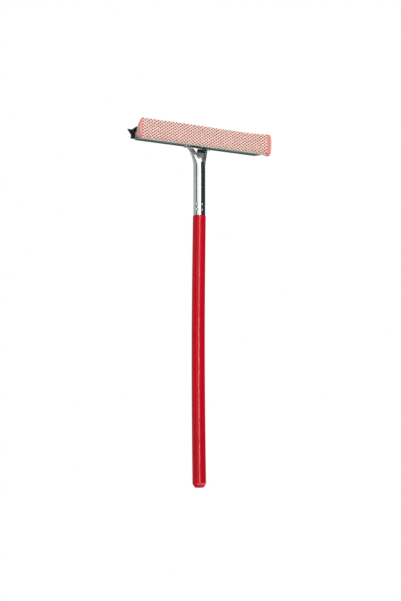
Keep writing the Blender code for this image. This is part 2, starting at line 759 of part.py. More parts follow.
def main():
    clear_scene()
    parts = make_collection(PART_NAME)
    cutters = make_collection("cutters")
    rivet_holes = [rivet_hole_cutter(side, cutters) for side in (-1, 1)]
    corner_clips = [corner_clip_cutter(side, cutters) for side in (-1, 1)]
    build_handle(parts)
    build_ferrule(parts, rivet_holes)
    build_rivet("rivet_left", -1, parts)
    build_rivet("rivet_right", 1, parts)
    build_channel(parts, rivet_holes + corner_clips)
    build_clamp(parts)
    build_blade(parts)
    build_sponge(parts)
    build_net(parts)


main()
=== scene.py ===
"""Studio scene of a windscreen squeegee, laid out as an add-on and run as a script.

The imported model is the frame: every finer piece takes the place of one of its nodes, in metres, with +Z up
along the handle, X along the blade and -Y towards the sponge.
"""
import math

import bmesh
import bpy
import numpy as np
from bpy.props import FloatProperty, FloatVectorProperty, IntProperty, PointerProperty
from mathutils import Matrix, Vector


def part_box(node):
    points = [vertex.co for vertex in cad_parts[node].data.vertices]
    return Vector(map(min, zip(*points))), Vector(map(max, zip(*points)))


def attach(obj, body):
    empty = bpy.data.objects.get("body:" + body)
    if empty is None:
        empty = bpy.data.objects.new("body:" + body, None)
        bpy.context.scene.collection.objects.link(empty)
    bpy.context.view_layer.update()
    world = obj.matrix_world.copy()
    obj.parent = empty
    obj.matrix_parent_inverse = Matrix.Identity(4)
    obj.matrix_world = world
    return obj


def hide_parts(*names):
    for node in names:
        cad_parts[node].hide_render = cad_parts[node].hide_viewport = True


bl_info = {
    "name": "Windscreen Squeegee",
    "version": (1, 0, 0),
    "blender": (4, 5, 0),
    "location": "3D View > Sidebar > Squeegee",
    "description": "Builds the squeegee's handle, steel head, rubber blade, sponge and net, and their studio",
    "category": "Object",
}

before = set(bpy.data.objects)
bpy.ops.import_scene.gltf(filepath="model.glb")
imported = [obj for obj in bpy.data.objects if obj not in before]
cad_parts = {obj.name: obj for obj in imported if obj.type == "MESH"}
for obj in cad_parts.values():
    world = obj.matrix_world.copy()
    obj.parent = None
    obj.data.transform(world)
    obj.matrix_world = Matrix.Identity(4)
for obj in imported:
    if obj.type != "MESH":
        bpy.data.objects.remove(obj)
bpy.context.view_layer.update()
MM = 0.001
CLEARANCE = 0.3 * MM
# How far the middle of the head lies behind the handle's axis
HEAD_MIDDLE = 7.1 * MM

HANDLE_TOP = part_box("ferrule")[0].z
FERRULE_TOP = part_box("ferrule")[1].z
CHANNEL_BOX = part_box("blade_channel")
CLAMP_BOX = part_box("sponge_clamp")
BLADE_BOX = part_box("wiper_blade")
SPONGE_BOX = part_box("sponge")
NET_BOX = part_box("net")


# Mesh helpers
def mesh_object(name, points, faces, texture=None):
    """Object from an (n, 3) array of points and a list of faces, with one (n, 2) UV value a point."""
    mesh = bpy.data.meshes.new(name)
    mesh.from_pydata(np.asarray(points, float).reshape(-1, 3).tolist(), [], faces)
    if texture is not None:
        layer = mesh.uv_layers.new(name="surface")
        corners = np.empty(len(mesh.loops), np.int32)
        mesh.loops.foreach_get("vertex_index", corners)
        layer.data.foreach_set("uv", np.asarray(texture, np.float32).reshape(-1, 2)[corners].ravel())
    mesh.update()
    made = bpy.data.objects.new(name, mesh)
    bpy.context.scene.collection.objects.link(made)
    return made


def grid_faces(rows, columns, wrap=False, first=0):
    """Quads between neighbours of a rows by columns grid; wrap joins the last column to the first."""
    row = np.arange(rows - 1)[:, None] * columns
    column = np.arange(columns if wrap else columns - 1)[None, :]
    after = (column + 1) % columns
    quads = np.stack([row + column, row + after, row + columns + after, row + columns + column], axis=-1)
    return (quads.reshape(-1, 4) + first).tolist()


def tidy(made, distance=0.000002, outward=True):
    """Close seams and poles, and turn the faces outwards."""
    work = bmesh.new()
    work.from_mesh(made.data)
    bmesh.ops.remove_doubles(work, verts=work.verts, dist=distance)
    bmesh.ops.dissolve_degenerate(work, edges=work.edges, dist=distance)
    if outward:
        bmesh.ops.recalc_face_normals(work, faces=work.faces)
    work.to_mesh(made.data)
    work.free()
    made.data.update()
    return made


def fill_rims(made, rims):
    """Fill rims, each a set of vertex numbers, with triangles; a loop inside another one stays open."""
    work = bmesh.new()
    work.from_mesh(made.data)
    for rim in rims:
        edges = [edge for edge in work.edges if edge.verts[0].index in rim and edge.verts[1].index in rim]
        bmesh.ops.triangle_fill(work, edges=edges, use_beauty=True)
    bmesh.ops.recalc_face_normals(work, faces=work.faces)
    work.to_mesh(made.data)
    work.free()


def smooth(made, angle=math.radians(40.0)):
    """Shade smooth, with edges above the angle kept sharp."""
    made.data.shade_smooth()
    made.data.set_sharp_from_angle(angle=angle)


def wall(made, thickness, bevel):
    """Give an open sheet its thickness, half to each side, and soften its cut edges."""
    solid = made.modifiers.new("Wall", "SOLIDIFY")
    solid.thickness = thickness
    solid.offset = 0.0
    solid.use_even_offset = True
    edge = made.modifiers.new("Edges", "BEVEL")
    edge.width = bevel
    edge.segments = 2
    edge.limit_method = "ANGLE"
    edge.angle_limit = math.radians(50.0)
    edge.harden_normals = True


def dress(made, material, *nodes, slot=None):
    """Finish a piece: its material, the body that it rides on and the nodes that it stands for. Its slot is
    not used.
    """
    made.data.materials.clear()
    made.data.materials.append(material)
    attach(made, "root")
    if nodes:
        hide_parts(*nodes)


def smooth_step(value):
    """Cubic blend from 0 to 1 of a value that is clipped to 0..1."""
    value = np.clip(value, 0.0, 1.0)
    return value * value * (3.0 - 2.0 * value)


def hill(distance, reach):
    """Cosine squared hill: 1 at no distance, 0 from the reach on."""
    return np.cos(np.pi / 2 * np.clip(np.abs(distance) / reach, 0.0, 1.0)) ** 2


def unit(vectors):
    """The same rows with a length of 1."""
    return vectors / np.linalg.norm(vectors, axis=1)[:, None]


def quadratic(start, control, end, steps):
    """Points of (1-t)^2 start + 2t(1-t) control + t^2 end, without the start."""
    t = np.linspace(0.0, 1.0, steps + 1)[1:, None]
    return (1 - t) ** 2 * np.array(start) + 2 * t * (1 - t) * np.array(control) + t ** 2 * np.array(end)


def arc(centre, radius, start, end, steps):
    """Points of an arc about a centre, from one angle to another."""
    angle = np.linspace(start, end, steps + 1)
    return np.column_stack([centre[0] + radius * np.cos(angle), centre[1] + radius * np.sin(angle)])


def even_path(points, count, closed=False):
    """The same polyline with its points at equal steps of its length."""
    points = np.vstack([points, points[:1]]) if closed else np.asarray(points)
    run = np.concatenate([[0.0], np.cumsum(np.linalg.norm(np.diff(points, axis=0), axis=1))])
    wanted = np.linspace(0.0, run[-1], count + 1 if closed else count)
    even = np.column_stack([np.interp(wanted, run, points[:, i]) for i in range(points.shape[1])])
    return even[:-1] if closed else even


# Node helpers
class Finish:
    """Builds one node material a call at a time."""

    def __init__(self, name):
        self.material = bpy.data.materials.new(name)
        self.material.use_nodes = True
        self.tree = self.material.node_tree
        self.shader = self.tree.nodes["Principled BSDF"]
        self.place = self.tree.nodes.new("ShaderNodeTexCoord").outputs["Object"]

    def node(self, kind, **inputs):
        """Node with values or links for its named inputs; an underscore stands for a space."""
        made = self.tree.nodes.new(kind)
        for name, value in inputs.items():
            self.feed(made.inputs[name.replace("_", " ")], value)
        return made

    def feed(self, socket, value):
        """Link another node's output to the socket, or set its value."""
        if isinstance(value, bpy.types.NodeSocket):
            self.tree.links.new(value, socket)
        else:
            socket.default_value = value

    def set(self, **values):
        """Values or links for the shader's own sockets."""
        for name, value in values.items():
            self.feed(self.shader.inputs[name.replace("_", " ")], value)
        return self

    def stretch(self, scale, source=None):
        """Coordinates scaled along each axis."""
        mapping = self.node("ShaderNodeMapping", Scale=scale)
        self.feed(mapping.inputs["Vector"], source or self.place)
        return mapping.outputs["Vector"]

    def noise(self, where, scale, detail=4.0, roughness=0.55, distortion=0.0):
        """Cloudy value between about 0.3 and 0.7."""
        made = self.node("ShaderNodeTexNoise", Vector=where, Scale=scale, Detail=detail, Roughness=roughness,
                         Distortion=distortion)
        return made.outputs["Fac"]

    def cells(self, where, scale):
        """Distance from the middle of the nearest cell."""
        return self.node("ShaderNodeTexVoronoi", Vector=where, Scale=scale).outputs["Distance"]

    def ramp(self, value, *stops):
        """Colour ramp through (position, colour) stops."""
        made = self.tree.nodes.new("ShaderNodeValToRGB")
        self.feed(made.inputs["Fac"], value)
        row = made.color_ramp.elements
        while len(row) < len(stops):
            row.new(1.0)
        for element, (position, colour) in zip(row, stops):
            element.position = position
            element.color = (*colour, 1.0) if len(colour) == 3 else colour
        return made.outputs["Color"]

    def span(self, value, low, high, from_low=0.0, from_high=1.0):
        """Value moved from the range from_low..from_high to the range low..high."""
        made = self.node("ShaderNodeMapRange", Value=value, From_Min=from_low, From_Max=from_high, To_Min=low,
                         To_Max=high)
        return made.outputs["Result"]

    def math(self, operation, a, b=0.0):
        """Result of a sum on one or two values."""
        made = self.tree.nodes.new("ShaderNodeMath")
        made.operation = operation
        self.feed(made.inputs[0], a)
        self.feed(made.inputs[1], b)
        return made.outputs["Value"]

    def blend(self, share, a, b, kind="MIX"):
        """Colour mix of a and b."""
        made = self.tree.nodes.new("ShaderNodeMix")
        made.data_type = "RGBA"
        made.blend_type = kind
        self.feed(made.inputs["Factor"], share)
        for name, colour in (("A", a), ("B", b)):
            wanted = [socket for socket in made.inputs if socket.name == name and socket.type == "RGBA"][0]
            self.feed(wanted, colour if isinstance(colour, bpy.types.NodeSocket) else (*colour, 1.0))
        return [socket for socket in made.outputs if socket.type == "RGBA"][0]

    def bump(self, height, distance, strength=1.0, under=None):
        """Normal that a height bends, on top of the one under it."""
        made = self.node("ShaderNodeBump", Height=height, Strength=strength, Distance=distance)
        if under is not None:
            self.feed(made.inputs["Normal"], under)
        return made.outputs["Normal"]


def tone(colour, strength):
    """The same colour at another strength."""
    return tuple(strength * part for part in colour)


def lacquered_wood(colour, lit_edge_colour, painted_highlight_colour, edge_height):
    """Thick glossy lacquer over a sanded dowel: long faint grain ridges and a dusting of fine specks. Below
    edge_height the colour is brighter, painted light from below, with pale streaks across the front of the
    turned edge as painted highlights."""
    finish = Finish("lacquered_wood")
    red = tuple(colour)
    deep = (red[0] * 0.82, red[1] * 0.7, red[2] * 0.75)
    bright = (min(1.0, red[0] * 1.07), red[1] * 1.4, red[2] * 1.2)
    grain = finish.noise(finish.stretch((160.0, 160.0, 5.0)), 1.0, 5.0, 0.6)
    pooling = finish.noise(finish.stretch((60.0, 60.0, 14.0)), 1.0, 3.0)
    shade = finish.ramp(grain, (0.3, deep), (0.5, red), (0.72, bright))
    axes = finish.node("ShaderNodeSeparateXYZ", Vector=finish.place)
    # Painted light: below edge_height the paint turns a brighter red, which stands in for light falling on
    # the turned edge from below.
    low = finish.span(axes.outputs["Z"], 1.0, 0.0, edge_height, edge_height + 1.4 * MM)
    # Painted highlights: pale streaks across the front of the turned edge stand in for reflections of the
    # lights.
    front = finish.span(axes.outputs["Y"], 1.0, 0.0, -7.4 * MM, -5.6 * MM)
    highlight_streaks = finish.span(finish.noise(finish.stretch((60.0, 60.0, 420.0)), 1.0, 3.0), 0.0, 1.0, 0.36, 0.54)
    highlights = finish.blend(finish.math("MULTIPLY", front, highlight_streaks), tuple(lit_edge_colour), tuple(painted_highlight_colour))
    shade = finish.blend(low, shade, highlights)
    specks = finish.ramp(finish.cells(finish.place, 900.0), (0.02, (0.35, 0.0, 0.004)),
                         (0.06, (1.0, 1.0, 1.0)))
    finish.set(Base_Color=finish.blend(0.25, shade, specks, "MULTIPLY"),
               Roughness=finish.span(pooling, 0.12, 0.2), Specular_IOR_Level=0.16)
    ridges = finish.bump(grain, 0.00012, 0.5)
    peel = finish.bump(finish.noise(finish.place, 420.0, 2.0), 0.00005, 0.35, ridges)
    return finish.set(Normal=peel).material


def plated_steel(name, colour, roughness, tarnish=0.4, rolling=(25.0, 900.0, 900.0)):
    """Bright plated sheet steel: rolling lines, cloudy plating and small dark tarnish spots."""
    finish = Finish(name)
    clean = tuple(colour)
    cloud = finish.noise(finish.place, 55.0, 5.0, 0.6, 0.4)
    spots = finish.noise(finish.place, 520.0, 4.0, 0.65)
    lines = finish.noise(finish.stretch(rolling), 1.0, 3.0, 0.6)
    plating = finish.ramp(cloud, (0.35, tone(clean, 0.86)), (0.6, clean))
    pits = finish.ramp(spots, (0.34, tone(clean, 0.62)), (0.44, clean))
    rough = finish.math("ADD", finish.span(cloud, roughness * 0.75, roughness * 1.35),
                        finish.span(spots, roughness * 0.9, 0.0, 0.3, 0.5))
    finish.set(Base_Color=finish.blend(tarnish, plating, pits, "MULTIPLY"), Metallic=1.0, Roughness=rough)
    ridges = finish.bump(lines, 0.00002, 0.35)
    return finish.set(Normal=finish.bump(spots, 0.00004, 0.25, ridges)).material


def moulded_rubber(colour):
    """Black extruded rubber: die lines along its length, fine grain and a bloom of dust."""
    finish = Finish("moulded_rubber")
    black = tuple(colour)
    bloom = finish.noise(finish.stretch((30.0, 220.0, 220.0)), 1.0, 5.0, 0.6)
    lines = finish.noise(finish.stretch((6.0, 1600.0, 1600.0)), 1.0, 3.0)
    dusted = tuple(2.2 * part + 0.004 for part in black)
    finish.set(Base_Color=finish.ramp(bloom, (0.35, black), (0.8, dusted)),
               Roughness=finish.span(bloom, 0.42, 0.62), Specular_IOR_Level=0.07)
    die = finish.bump(lines, 0.00003, 0.4)
    grain = finish.bump(finish.noise(finish.place, 2600.0, 2.0), 0.00002, 0.5, die)
    return finish.set(Normal=grain).material


def open_cell_foam(colour, shadow, netted, greyer, net_half, net_shift, foam_half, tail_inset):
    """Open-cell foam: two sizes of pores that pit the surface and are painted darker as painted shade, and a
    cloudy dye. It is a deeper red in the net's gaps, painted shade under the yarns, within net_half of a
    middle that lies net_shift to the left; the cut ends, which lie tail_inset further in at the back, are a
    paler, greyer pink."""
    finish = Finish("open_cell_foam")
    axes = finish.node("ShaderNodeSeparateXYZ", Vector=finish.place)
    away = finish.math("ABSOLUTE", axes.outputs["X"])
    from_net = finish.math("ABSOLUTE", finish.math("ADD", axes.outputs["X"], net_shift))
    # Painted shade: within the net's length the foam is painted a deeper red, which stands in for the shade
    # under and between the yarns.
    under = finish.span(from_net, 0.0, 1.0, net_half + 0.8 * MM, net_half - 1.2 * MM)
    tail = finish.span(axes.outputs["Y"], 0.0, tail_inset, -TAIL_START, TAIL_BLEND - TAIL_START)
    # The cut ends, and the tail's ends further in, take a paler, greyer pink.
    cut_end = finish.span(finish.math("ADD", away, tail), 0.0, 1.0, foam_half - 2.4 * MM,
                          foam_half - 0.3 * MM)
    coarse = finish.cells(finish.place, 1250.0)
    fine = finish.cells(finish.place, 2700.0)
    dye = finish.noise(finish.place, 70.0, 4.0)
    body = finish.ramp(dye, (0.3, tone(colour, 0.93)), (0.7, tuple(colour)))
    body = finish.blend(under, body, tuple(netted))
    body = finish.blend(cut_end, body, tuple(greyer))
    # Painted shade: the pores are painted the dark pores colour, which stands in for the shade inside them.
    pore_shade = finish.math("MULTIPLY", finish.span(coarse, 0.0, 1.0, 0.05, 0.5),
                       finish.span(fine, 0.6, 1.0, 0.05, 0.5))
    finish.set(Base_Color=finish.blend(finish.span(pore_shade, 0.55, 0.0), body, tuple(shadow)),
               Roughness=0.92, Specular_IOR_Level=0.2, Sheen_Weight=0.25, Sheen_Roughness=0.5)
    pits = finish.bump(coarse, 0.0004, 0.7)
    return finish.set(Normal=finish.bump(fine, 0.0002, 0.5, pits)).material


def twisted_yarn(colour, groove_shade):
    """Nylon yarn: its strands twist round it along the UV map, with paler fuzz on top."""
    finish = Finish("twisted_yarn")
    surface = finish.tree.nodes.new("ShaderNodeUVMap")
    surface.uv_map = "surface"
    turns = finish.node("ShaderNodeTexWave", Vector=surface.outputs["UV"], Scale=1.0, Distortion=0.3,
                        Detail=1.0)
    turns.wave_type = "BANDS"
    turns.bands_direction = "DIAGONAL"
    fuzz = finish.noise(finish.place, 3000.0, 3.0)
    # Painted shade: the darker colour between the strands stands in for the shade in the grooves of the
    # twist.
    strands = finish.ramp(turns.outputs["Fac"], (0.0, tuple(groove_shade)), (0.45, tuple(colour)))
    finish.set(Base_Color=finish.blend(finish.span(fuzz, 0.0, 0.25), strands, (1.0, 0.96, 0.88)),
               Roughness=0.7, Specular_IOR_Level=0.35, Sheen_Weight=0.35, Sheen_Roughness=0.4)
    coils = finish.bump(turns.outputs["Fac"], 0.00012, 0.6)
    return finish.set(Normal=finish.bump(fuzz, 0.00005, 0.4, coils)).material


def lit_card(name, colour, strength):
    """Plain card that gives off an even light."""
    made = bpy.data.materials.new(name)
    made.use_nodes = True
    tree = made.node_tree
    tree.nodes.clear()
    glow = tree.nodes.new("ShaderNodeEmission")
    glow.inputs["Color"].default_value = (*colour, 1.0)
    glow.inputs["Strength"].default_value = strength
    out = tree.nodes.new("ShaderNodeOutputMaterial")
    tree.links.new(glow.outputs[0], out.inputs["Surface"])
    return made


def one_sided_floor(colour):
    """Pale matt floor that can't be seen from below."""
    made = bpy.data.materials.new("pale_floor")
    made.use_nodes = True
    tree = made.node_tree
    shader = tree.nodes["Principled BSDF"]
    shader.inputs["Base Color"].default_value = (*colour, 1.0)
    shader.inputs["Roughness"].default_value = 0.9
    shader.inputs["Specular IOR Level"].default_value = 0.1
    geometry = tree.nodes.new("ShaderNodeNewGeometry")
    clear = tree.nodes.new("ShaderNodeBsdfTransparent")
    mix = tree.nodes.new("ShaderNodeMixShader")
    tree.links.new(geometry.outputs["Backfacing"], mix.inputs["Fac"])
    tree.links.new(shader.outputs["BSDF"], mix.inputs[1])
    tree.links.new(clear.outputs["BSDF"], mix.inputs[2])
    tree.links.new(mix.outputs["Shader"], tree.nodes["Material Output"].inputs["Surface"])
    return made


# Sizes and colours
def size(name, text, default, lowest=0.0):
    """Length that a user can change."""
    return FloatProperty(name=name, description=text, default=default, min=lowest, subtype="DISTANCE",
                         unit="LENGTH", precision=5)


def share(name, text, default, lowest=0.0, highest=1.0):
    """Share or strength that a user can change."""
    return FloatProperty(name=name, description=text, default=default, min=lowest, max=highest,
                         subtype="FACTOR")


def shade(name, text, default):
    """Colour that a user can change."""
    return FloatVectorProperty(name=name, description=text, default=default, size=3, min=0.0, max=1.0,
                               subtype="COLOR")


class SQUEEGEE_PG_handle(bpy.types.PropertyGroup):
    """Sizes and colour of the wooden handle."""
    top_diameter: size("Top diameter", "Thickness under the ferrule", 18.3 * MM)
    bottom_diameter: size("Bottom diameter", "Thickness above the chamfer", 18.9 * MM)
    bow: size("Bow", "How far the wood bends to the left at mid length", 1.7 * MM)
    end_face: size("End face", "Diameter of the flat lower end", 11.6 * MM)
    chamfer: size("Chamfer height", "Height of the turned lower edge", 5.2 * MM)
    shoulder: size("Shoulder", "Rounding under the ferrule", 1.2 * MM)
    lacquer: shade("Lacquer", "Colour of the paint", (0.51, 0.001, 0.011))
    # Painted light: this brighter red on the turned lower edge stands in for light falling on it from below.
    edge: shade("Edge", "Colour of the paint on the turned lower edge", (0.64, 0.002, 0.018))
    # Painted highlight: colour of the pale streaks on that edge, which stand in for reflections of the
    # lights.
    painted_highlight: shade("Scuff", "Colour of the scuffs on that edge", (0.90, 0.16, 0.19))


class SQUEEGEE_PG_ferrule(bpy.types.PropertyGroup):
    """Sizes and finish of the steel ferrule, which the rivets, channel and clamp share."""
    diameter: size("Diameter", "Outer diameter of the tube", 16.8 * MM)
    sheet: size("Sheet", "Thickness of the steel", 0.8 * MM)
    flare: size("Flare", "Height over which the wings spread", 29.0 * MM)
    mouth_width: size("Mouth width", "Outer width between the wings", 32.4 * MM)
    mouth_depth: size("Mouth depth", "Outer depth under the channel", 11.2 * MM)
    flange: size("Flange", "Width of the riveted flanges", 5.0 * MM)
    front_notch: size("Front notch", "Depth of the slit in front", 24.2 * MM)
    back_notch: size("Back notch", "Depth of the slit behind", 7.2 * MM)
    dimple: size("Dimple depth", "How far the crimps press in", 0.55 * MM)
    steel: shade("Steel", "Colour of the plating", (0.74, 0.76, 0.76))
    # Painted shade: this darker colour of the tube's inside stands in for the shade in its hollow.
    shaded_inner_steel: shade("Inner steel", "Colour of the tube's dull inside", (0.62, 0.66, 0.66))
    roughness: share("Roughness", "Dullness of the plating", 0.13)


class SQUEEGEE_PG_head(bpy.types.PropertyGroup):
    """Sizes and finish of the channel and the rubber blade."""
    sheet: size("Sheet", "Thickness of the channel", 1.0 * MM)
    crimp_pitch: size("Crimp pitch", "Distance between crimps", 28.0 * MM, 1.0 * MM)
    crimp_depth: size("Crimp depth", "How far the crimps press in", 0.6 * MM)
    clip_length: size("Clip length", "Length of the clipped back corners", 6.6 * MM)
    # Painted shade: this dark teal stands in for the shade and dark reflections on the channel's underside.
    steel: shade("Steel", "Colour of the channel", (0.34, 0.44, 0.43))
    rubber: shade("Rubber", "Colour of the blade", (0.006, 0.007, 0.0075))
    ripple: size("Ripple", "Waviness of the blade's lips", 0.25 * MM)


class SQUEEGEE_PG_sponge(bpy.types.PropertyGroup):
    """Shape and colour of the foam."""
    bulge: size("Bulge", "How far the foam swells through the net", 0.1 * MM)
    press: size("Press", "How far the yarn presses into the foam", 0.35 * MM)
    draw_in: size("Draw-in", "How much thinner the foam is right of the middle", 1.6 * MM)
    flare: size("Flare", "How much thicker the foam is at its right end", 1.2 * MM)
    end_round: size("End rounding", "Rounding of the foam's ends", 2.8 * MM)
    left_crown: size("Left crown", "How far the left end draws back above and below its middle", 2.4 * MM)
    right_crown: size("Right crown", "How far the right end draws back above and below its middle", 1.0 * MM)
    sag: size("Sag", "How far the lower front edge hangs at the right end", 2.8 * MM)
    foam: shade("Foam", "Colour of the foam", (0.80, 0.28, 0.25))
    # Painted shade: this deep red stands in for the shade on the foam under and between the net's yarns.
    netted: shade("Foam in the net", "Colour of the foam in the net's gaps", (0.40, 0.05, 0.055))
    # A paler, greyer pink on the foam's cut ends.
    greyer: shade("Cut ends", "Colour of the foam's dusty ends", (0.78, 0.43, 0.41))
    tail_inset: size("Tail inset", "How much shorter the foam's tail is at each end", 4.0 * MM)
    # Painted shade: this dark red inside the pores stands in for the shade in them.
    pores: shade("Pores", "Colour inside the pores", (0.42, 0.055, 0.06))


class SQUEEGEE_PG_net(bpy.types.PropertyGroup):
    """Mesh and yarn of the net."""
    pitch_along: size("Pitch along", "Distance between knots along the blade", 5.8 * MM, 1.0 * MM)
    pitch_round: size("Pitch round", "Distance between knots round the foam", 4.07 * MM, 1.0 * MM)
    shift: size("Shift", "How far the net sits to the left of the foam's middle", 1.5 * MM)
    yarn: size("Yarn", "Thickness of the yarn", 1.15 * MM)
    knot: size("Knot", "Width of the knots", 1.9 * MM)
    colour: shade("Colour", "Colour of the yarn", (0.96, 0.80, 0.68))
    # Painted shade: this darker colour between the yarn's strands stands in for the shade in the twist's
    # grooves.
    groove_shade: shade("Groove", "Colour between the yarn's strands", (0.72, 0.44, 0.37))
    steps: IntProperty(name="Steps", description="Points of a yarn for each pitch", default=6, min=3, max=12)


class SQUEEGEE_PG_studio(bpy.types.PropertyGroup):
    """Camera, floor and lights."""
    camera_azimuth: FloatProperty(name="Azimuth", description="Camera's angle round the object",
                                  default=math.radians(-28.0), subtype="ANGLE")
    camera_elevation: FloatProperty(name="Elevation", description="Camera's angle above the horizon",
                                    default=math.radians(-9.364), subtype="ANGLE")
    camera_distance: size("Distance", "Camera's distance", 2.4)
    aim_height: size("Aim height", "Height that the camera looks at", 261.8 * MM)
    aim_right: size("Aim right", "How far right of the handle's axis it looks", 1.69 * MM)
    focal_share: FloatProperty(name="Focal length", description="As a share of the picture's height",
                               default=1707.46 / 601.0)
    floor: shade("Floor", "Colour of the floor", (0.86, 0.86, 0.85))
    ambient: share("Ambient", "Strength of the even light", 0.56, 0.0, 2.0)
    key: FloatProperty(name="Key", description="Power of the large soft light", default=14.0, min=0.0,
                       subtype="POWER", unit="POWER")
    strip: FloatProperty(name="Strip", description="Power of the tall narrow light", default=6.0, min=0.0,
                         subtype="POWER", unit="POWER")


# Handle
# How far the hidden tenon steps in from the handle's side
TENON_STEP = 3.15 * MM


def handle_surface(look, rows=170, columns=96):
    """Surface of revolution (r(t) cos a, r(t) sin a, z(t)) with x shifted by -bow sin(pi z / length). Its
    profile runs from the tenon's top over the rounded shoulder and the side to the chamfer and the end."""
    length = HANDLE_TOP - CLEARANCE
    top = look.top_diameter / 2
    foot = look.bottom_diameter / 2
    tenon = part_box("handle")[1].z
    tenon_radius = top - TENON_STEP
    rounding = look.chamfer / 4
    end = look.end_face / 2
    rim = (end + 0.3 * MM, 0.28 * MM)
    profile = np.vstack([
        [(0.0, tenon), (tenon_radius, tenon), (tenon_radius, length), (top - look.shoulder, length)],
        arc((top - look.shoulder, length - look.shoulder), look.shoulder, math.pi / 2, 0.0, 8)[1:],
        np.column_stack([np.linspace(top, foot, rows)[1:],
                         np.linspace(length - look.shoulder, look.chamfer + rounding, rows)[1:]]),
        quadratic((foot, look.chamfer + rounding), (foot, look.chamfer - rounding), rim, 10),
        quadratic(rim, (end, 0.0), (end - 0.5 * MM, 0.0), 4),
        [(0.0, 0.0)],
    ])
    angle = np.linspace(0.0, 2 * math.pi, columns, endpoint=False)
    radius = profile[:, :1]
    height = np.repeat(profile[:, 1:], columns, axis=1)
    shift = look.bow * np.sin(np.pi * np.clip(height / length, 0.0, 1.0))
    points = np.stack([radius * np.cos(angle) - shift, radius * np.sin(angle) + 0.0 * height, height],
                      axis=-1)
    return mesh_object("lacquered_handle", points, grid_faces(len(profile), columns, wrap=True))


class SQUEEGEE_OT_handle(bpy.types.Operator):
    """Turn the lacquered handle"""
    bl_idname = "squeegee.handle"
    bl_label = "Handle"

    def execute(self, context):
        look = context.scene.squeegee_handle
        handle = tidy(handle_surface(look))
        smooth(handle)
        paint = lacquered_wood(look.lacquer, look.edge, look.painted_highlight, look.chamfer - 0.4 * MM)
        dress(handle, paint, "handle", slot="painted_wood")
        return {"FINISHED"}


# Ferrule
# Two rings of eight dimples: their heights above the ferrule's foot, their reach up and down, and their
# width round the tube. The rows of the mesh are dense up to the crimped height.
DIMPLE_RINGS = (8.0 * MM, 16.0 * MM)
DIMPLE_REACH = 3.0 * MM
DIMPLE_WIDTH = 4.5 * MM
DIMPLE_PITCH = math.pi / 4
DIMPLE_TURN = math.radians(-4.5)
CRIMPED_HEIGHT = 23.0 * MM
# Heights of the notches' round roots, where the rows are dense too
FRONT_ROOT = 1.2 * MM
BACK_ROOT = 1.0 * MM


def ferrule_surface(look, half_columns=70):
    """Tube in two halves; over the flare its half width grows as the height to the power 1.5, its depth
    shrinks evenly and it leans back as the cube. Each half runs from the front notch's edge to the back
    notch's, its last rows turn out into the flange, and each dimple is a product of two hills."""
    bottom = HANDLE_TOP
    top = FERRULE_TOP - look.sheet / 2
    radius = (look.diameter - look.sheet) / 2
    # Heights, each with the number of rows from there to the next one
    stops = [(bottom, 70), (bottom + CRIMPED_HEIGHT, 12), (top - look.flare, 8), (top - look.front_notch, 6),
             (top - look.front_notch + FRONT_ROOT, 26), (top - look.back_notch, 6),
             (top - look.back_notch + BACK_ROOT, 13)]
    ends = [low for low, rows in stops[1:]] + [top]
    heights = [np.linspace(low, high, rows, endpoint=False) for (low, rows), high in zip(stops, ends)]
    heights = np.concatenate(heights + [[top]])
    flange_run = np.linspace(0.0, 1.0, 9)[1:]
    z = np.concatenate([heights, np.full(len(flange_run), top)])[:, None]
    out = np.concatenate([np.zeros(len(heights)), flange_run])[:, None]
    column = np.linspace(0.0, 1.0, half_columns + 1)[None, :]

    def notch(depth, top_angle, power, swell):
        """Angle from the seam to the notch's edge at each height."""
        part = np.clip((z - (top - depth)) / depth, 0.0, 1.0)
        return math.radians(top_angle) * part ** power * (1.0 + swell * (1.0 - part))

    front = notch(look.front_notch, 42.5, 0.5, 0.81)
    back = notch(look.back_notch, 13.0, 1.0, 0.0)
    angle = front + column * (math.pi - front - back)
    opened = np.clip((z - top + look.flare) / look.flare, 0.0, 1.0)
    rings = sum(hill(z - bottom - height, DIMPLE_REACH) for height in DIMPLE_RINGS)
    middle = HEAD_MIDDLE * opened ** 3
    halves = []
    faces = []
    for side in (-1, 1):
        off = (side * angle - DIMPLE_TURN + DIMPLE_PITCH / 2) % DIMPLE_PITCH - DIMPLE_PITCH / 2
        push = look.dimple * hill(off, DIMPLE_WIDTH / look.diameter) * rings
        width = radius - push + (look.mouth_width / 2 - radius) * opened ** 1.5 + out * look.flange
        depth = radius - push + ((look.mouth_depth - look.sheet) / 2 - radius) * opened
        points = np.stack([side * width * np.sin(angle), middle - depth * np.cos(angle),
                           z + 0.0 * angle], axis=-1)
        quads = grid_faces(len(z), half_columns + 1, first=len(halves) * len(z) * (half_columns + 1))
        faces += quads if side > 0 else [quad[::-1] for quad in quads]
        halves.append(points)
    return mesh_object("crimped_ferrule", np.stack(halves), faces)


class SQUEEGEE_OT_ferrule(bpy.types.Operator):
    """Roll and crimp the steel ferrule and spread its wings"""
    bl_idname = "squeegee.ferrule"
    bl_label = "Ferrule"

    def execute(self, context):
        look = context.scene.squeegee_ferrule
        ferrule = tidy(ferrule_surface(look), outward=False)
        smooth(ferrule, math.radians(50.0))
        wall(ferrule, look.sheet, bevel=0.12 * MM)
        steel = plated_steel("plated_steel", look.steel, look.roughness, 0.5, (900.0, 900.0, 30.0))
        dress(ferrule, steel, "ferrule", slot="plated_steel")
        # Painted shade: the tube's inside gets a darker copy of the plating, which stands in for the shade in
        # its hollow; its higher roughness is the steel's own finish.
        inner = plated_steel("dull_shaded_inner_steel", look.shaded_inner_steel, 0.24, 0.7, (300.0, 300.0, 30.0))
        ferrule.data.materials.append(inner)
        ferrule.modifiers["Wall"].material_offset = 1
        return {"FINISHED"}


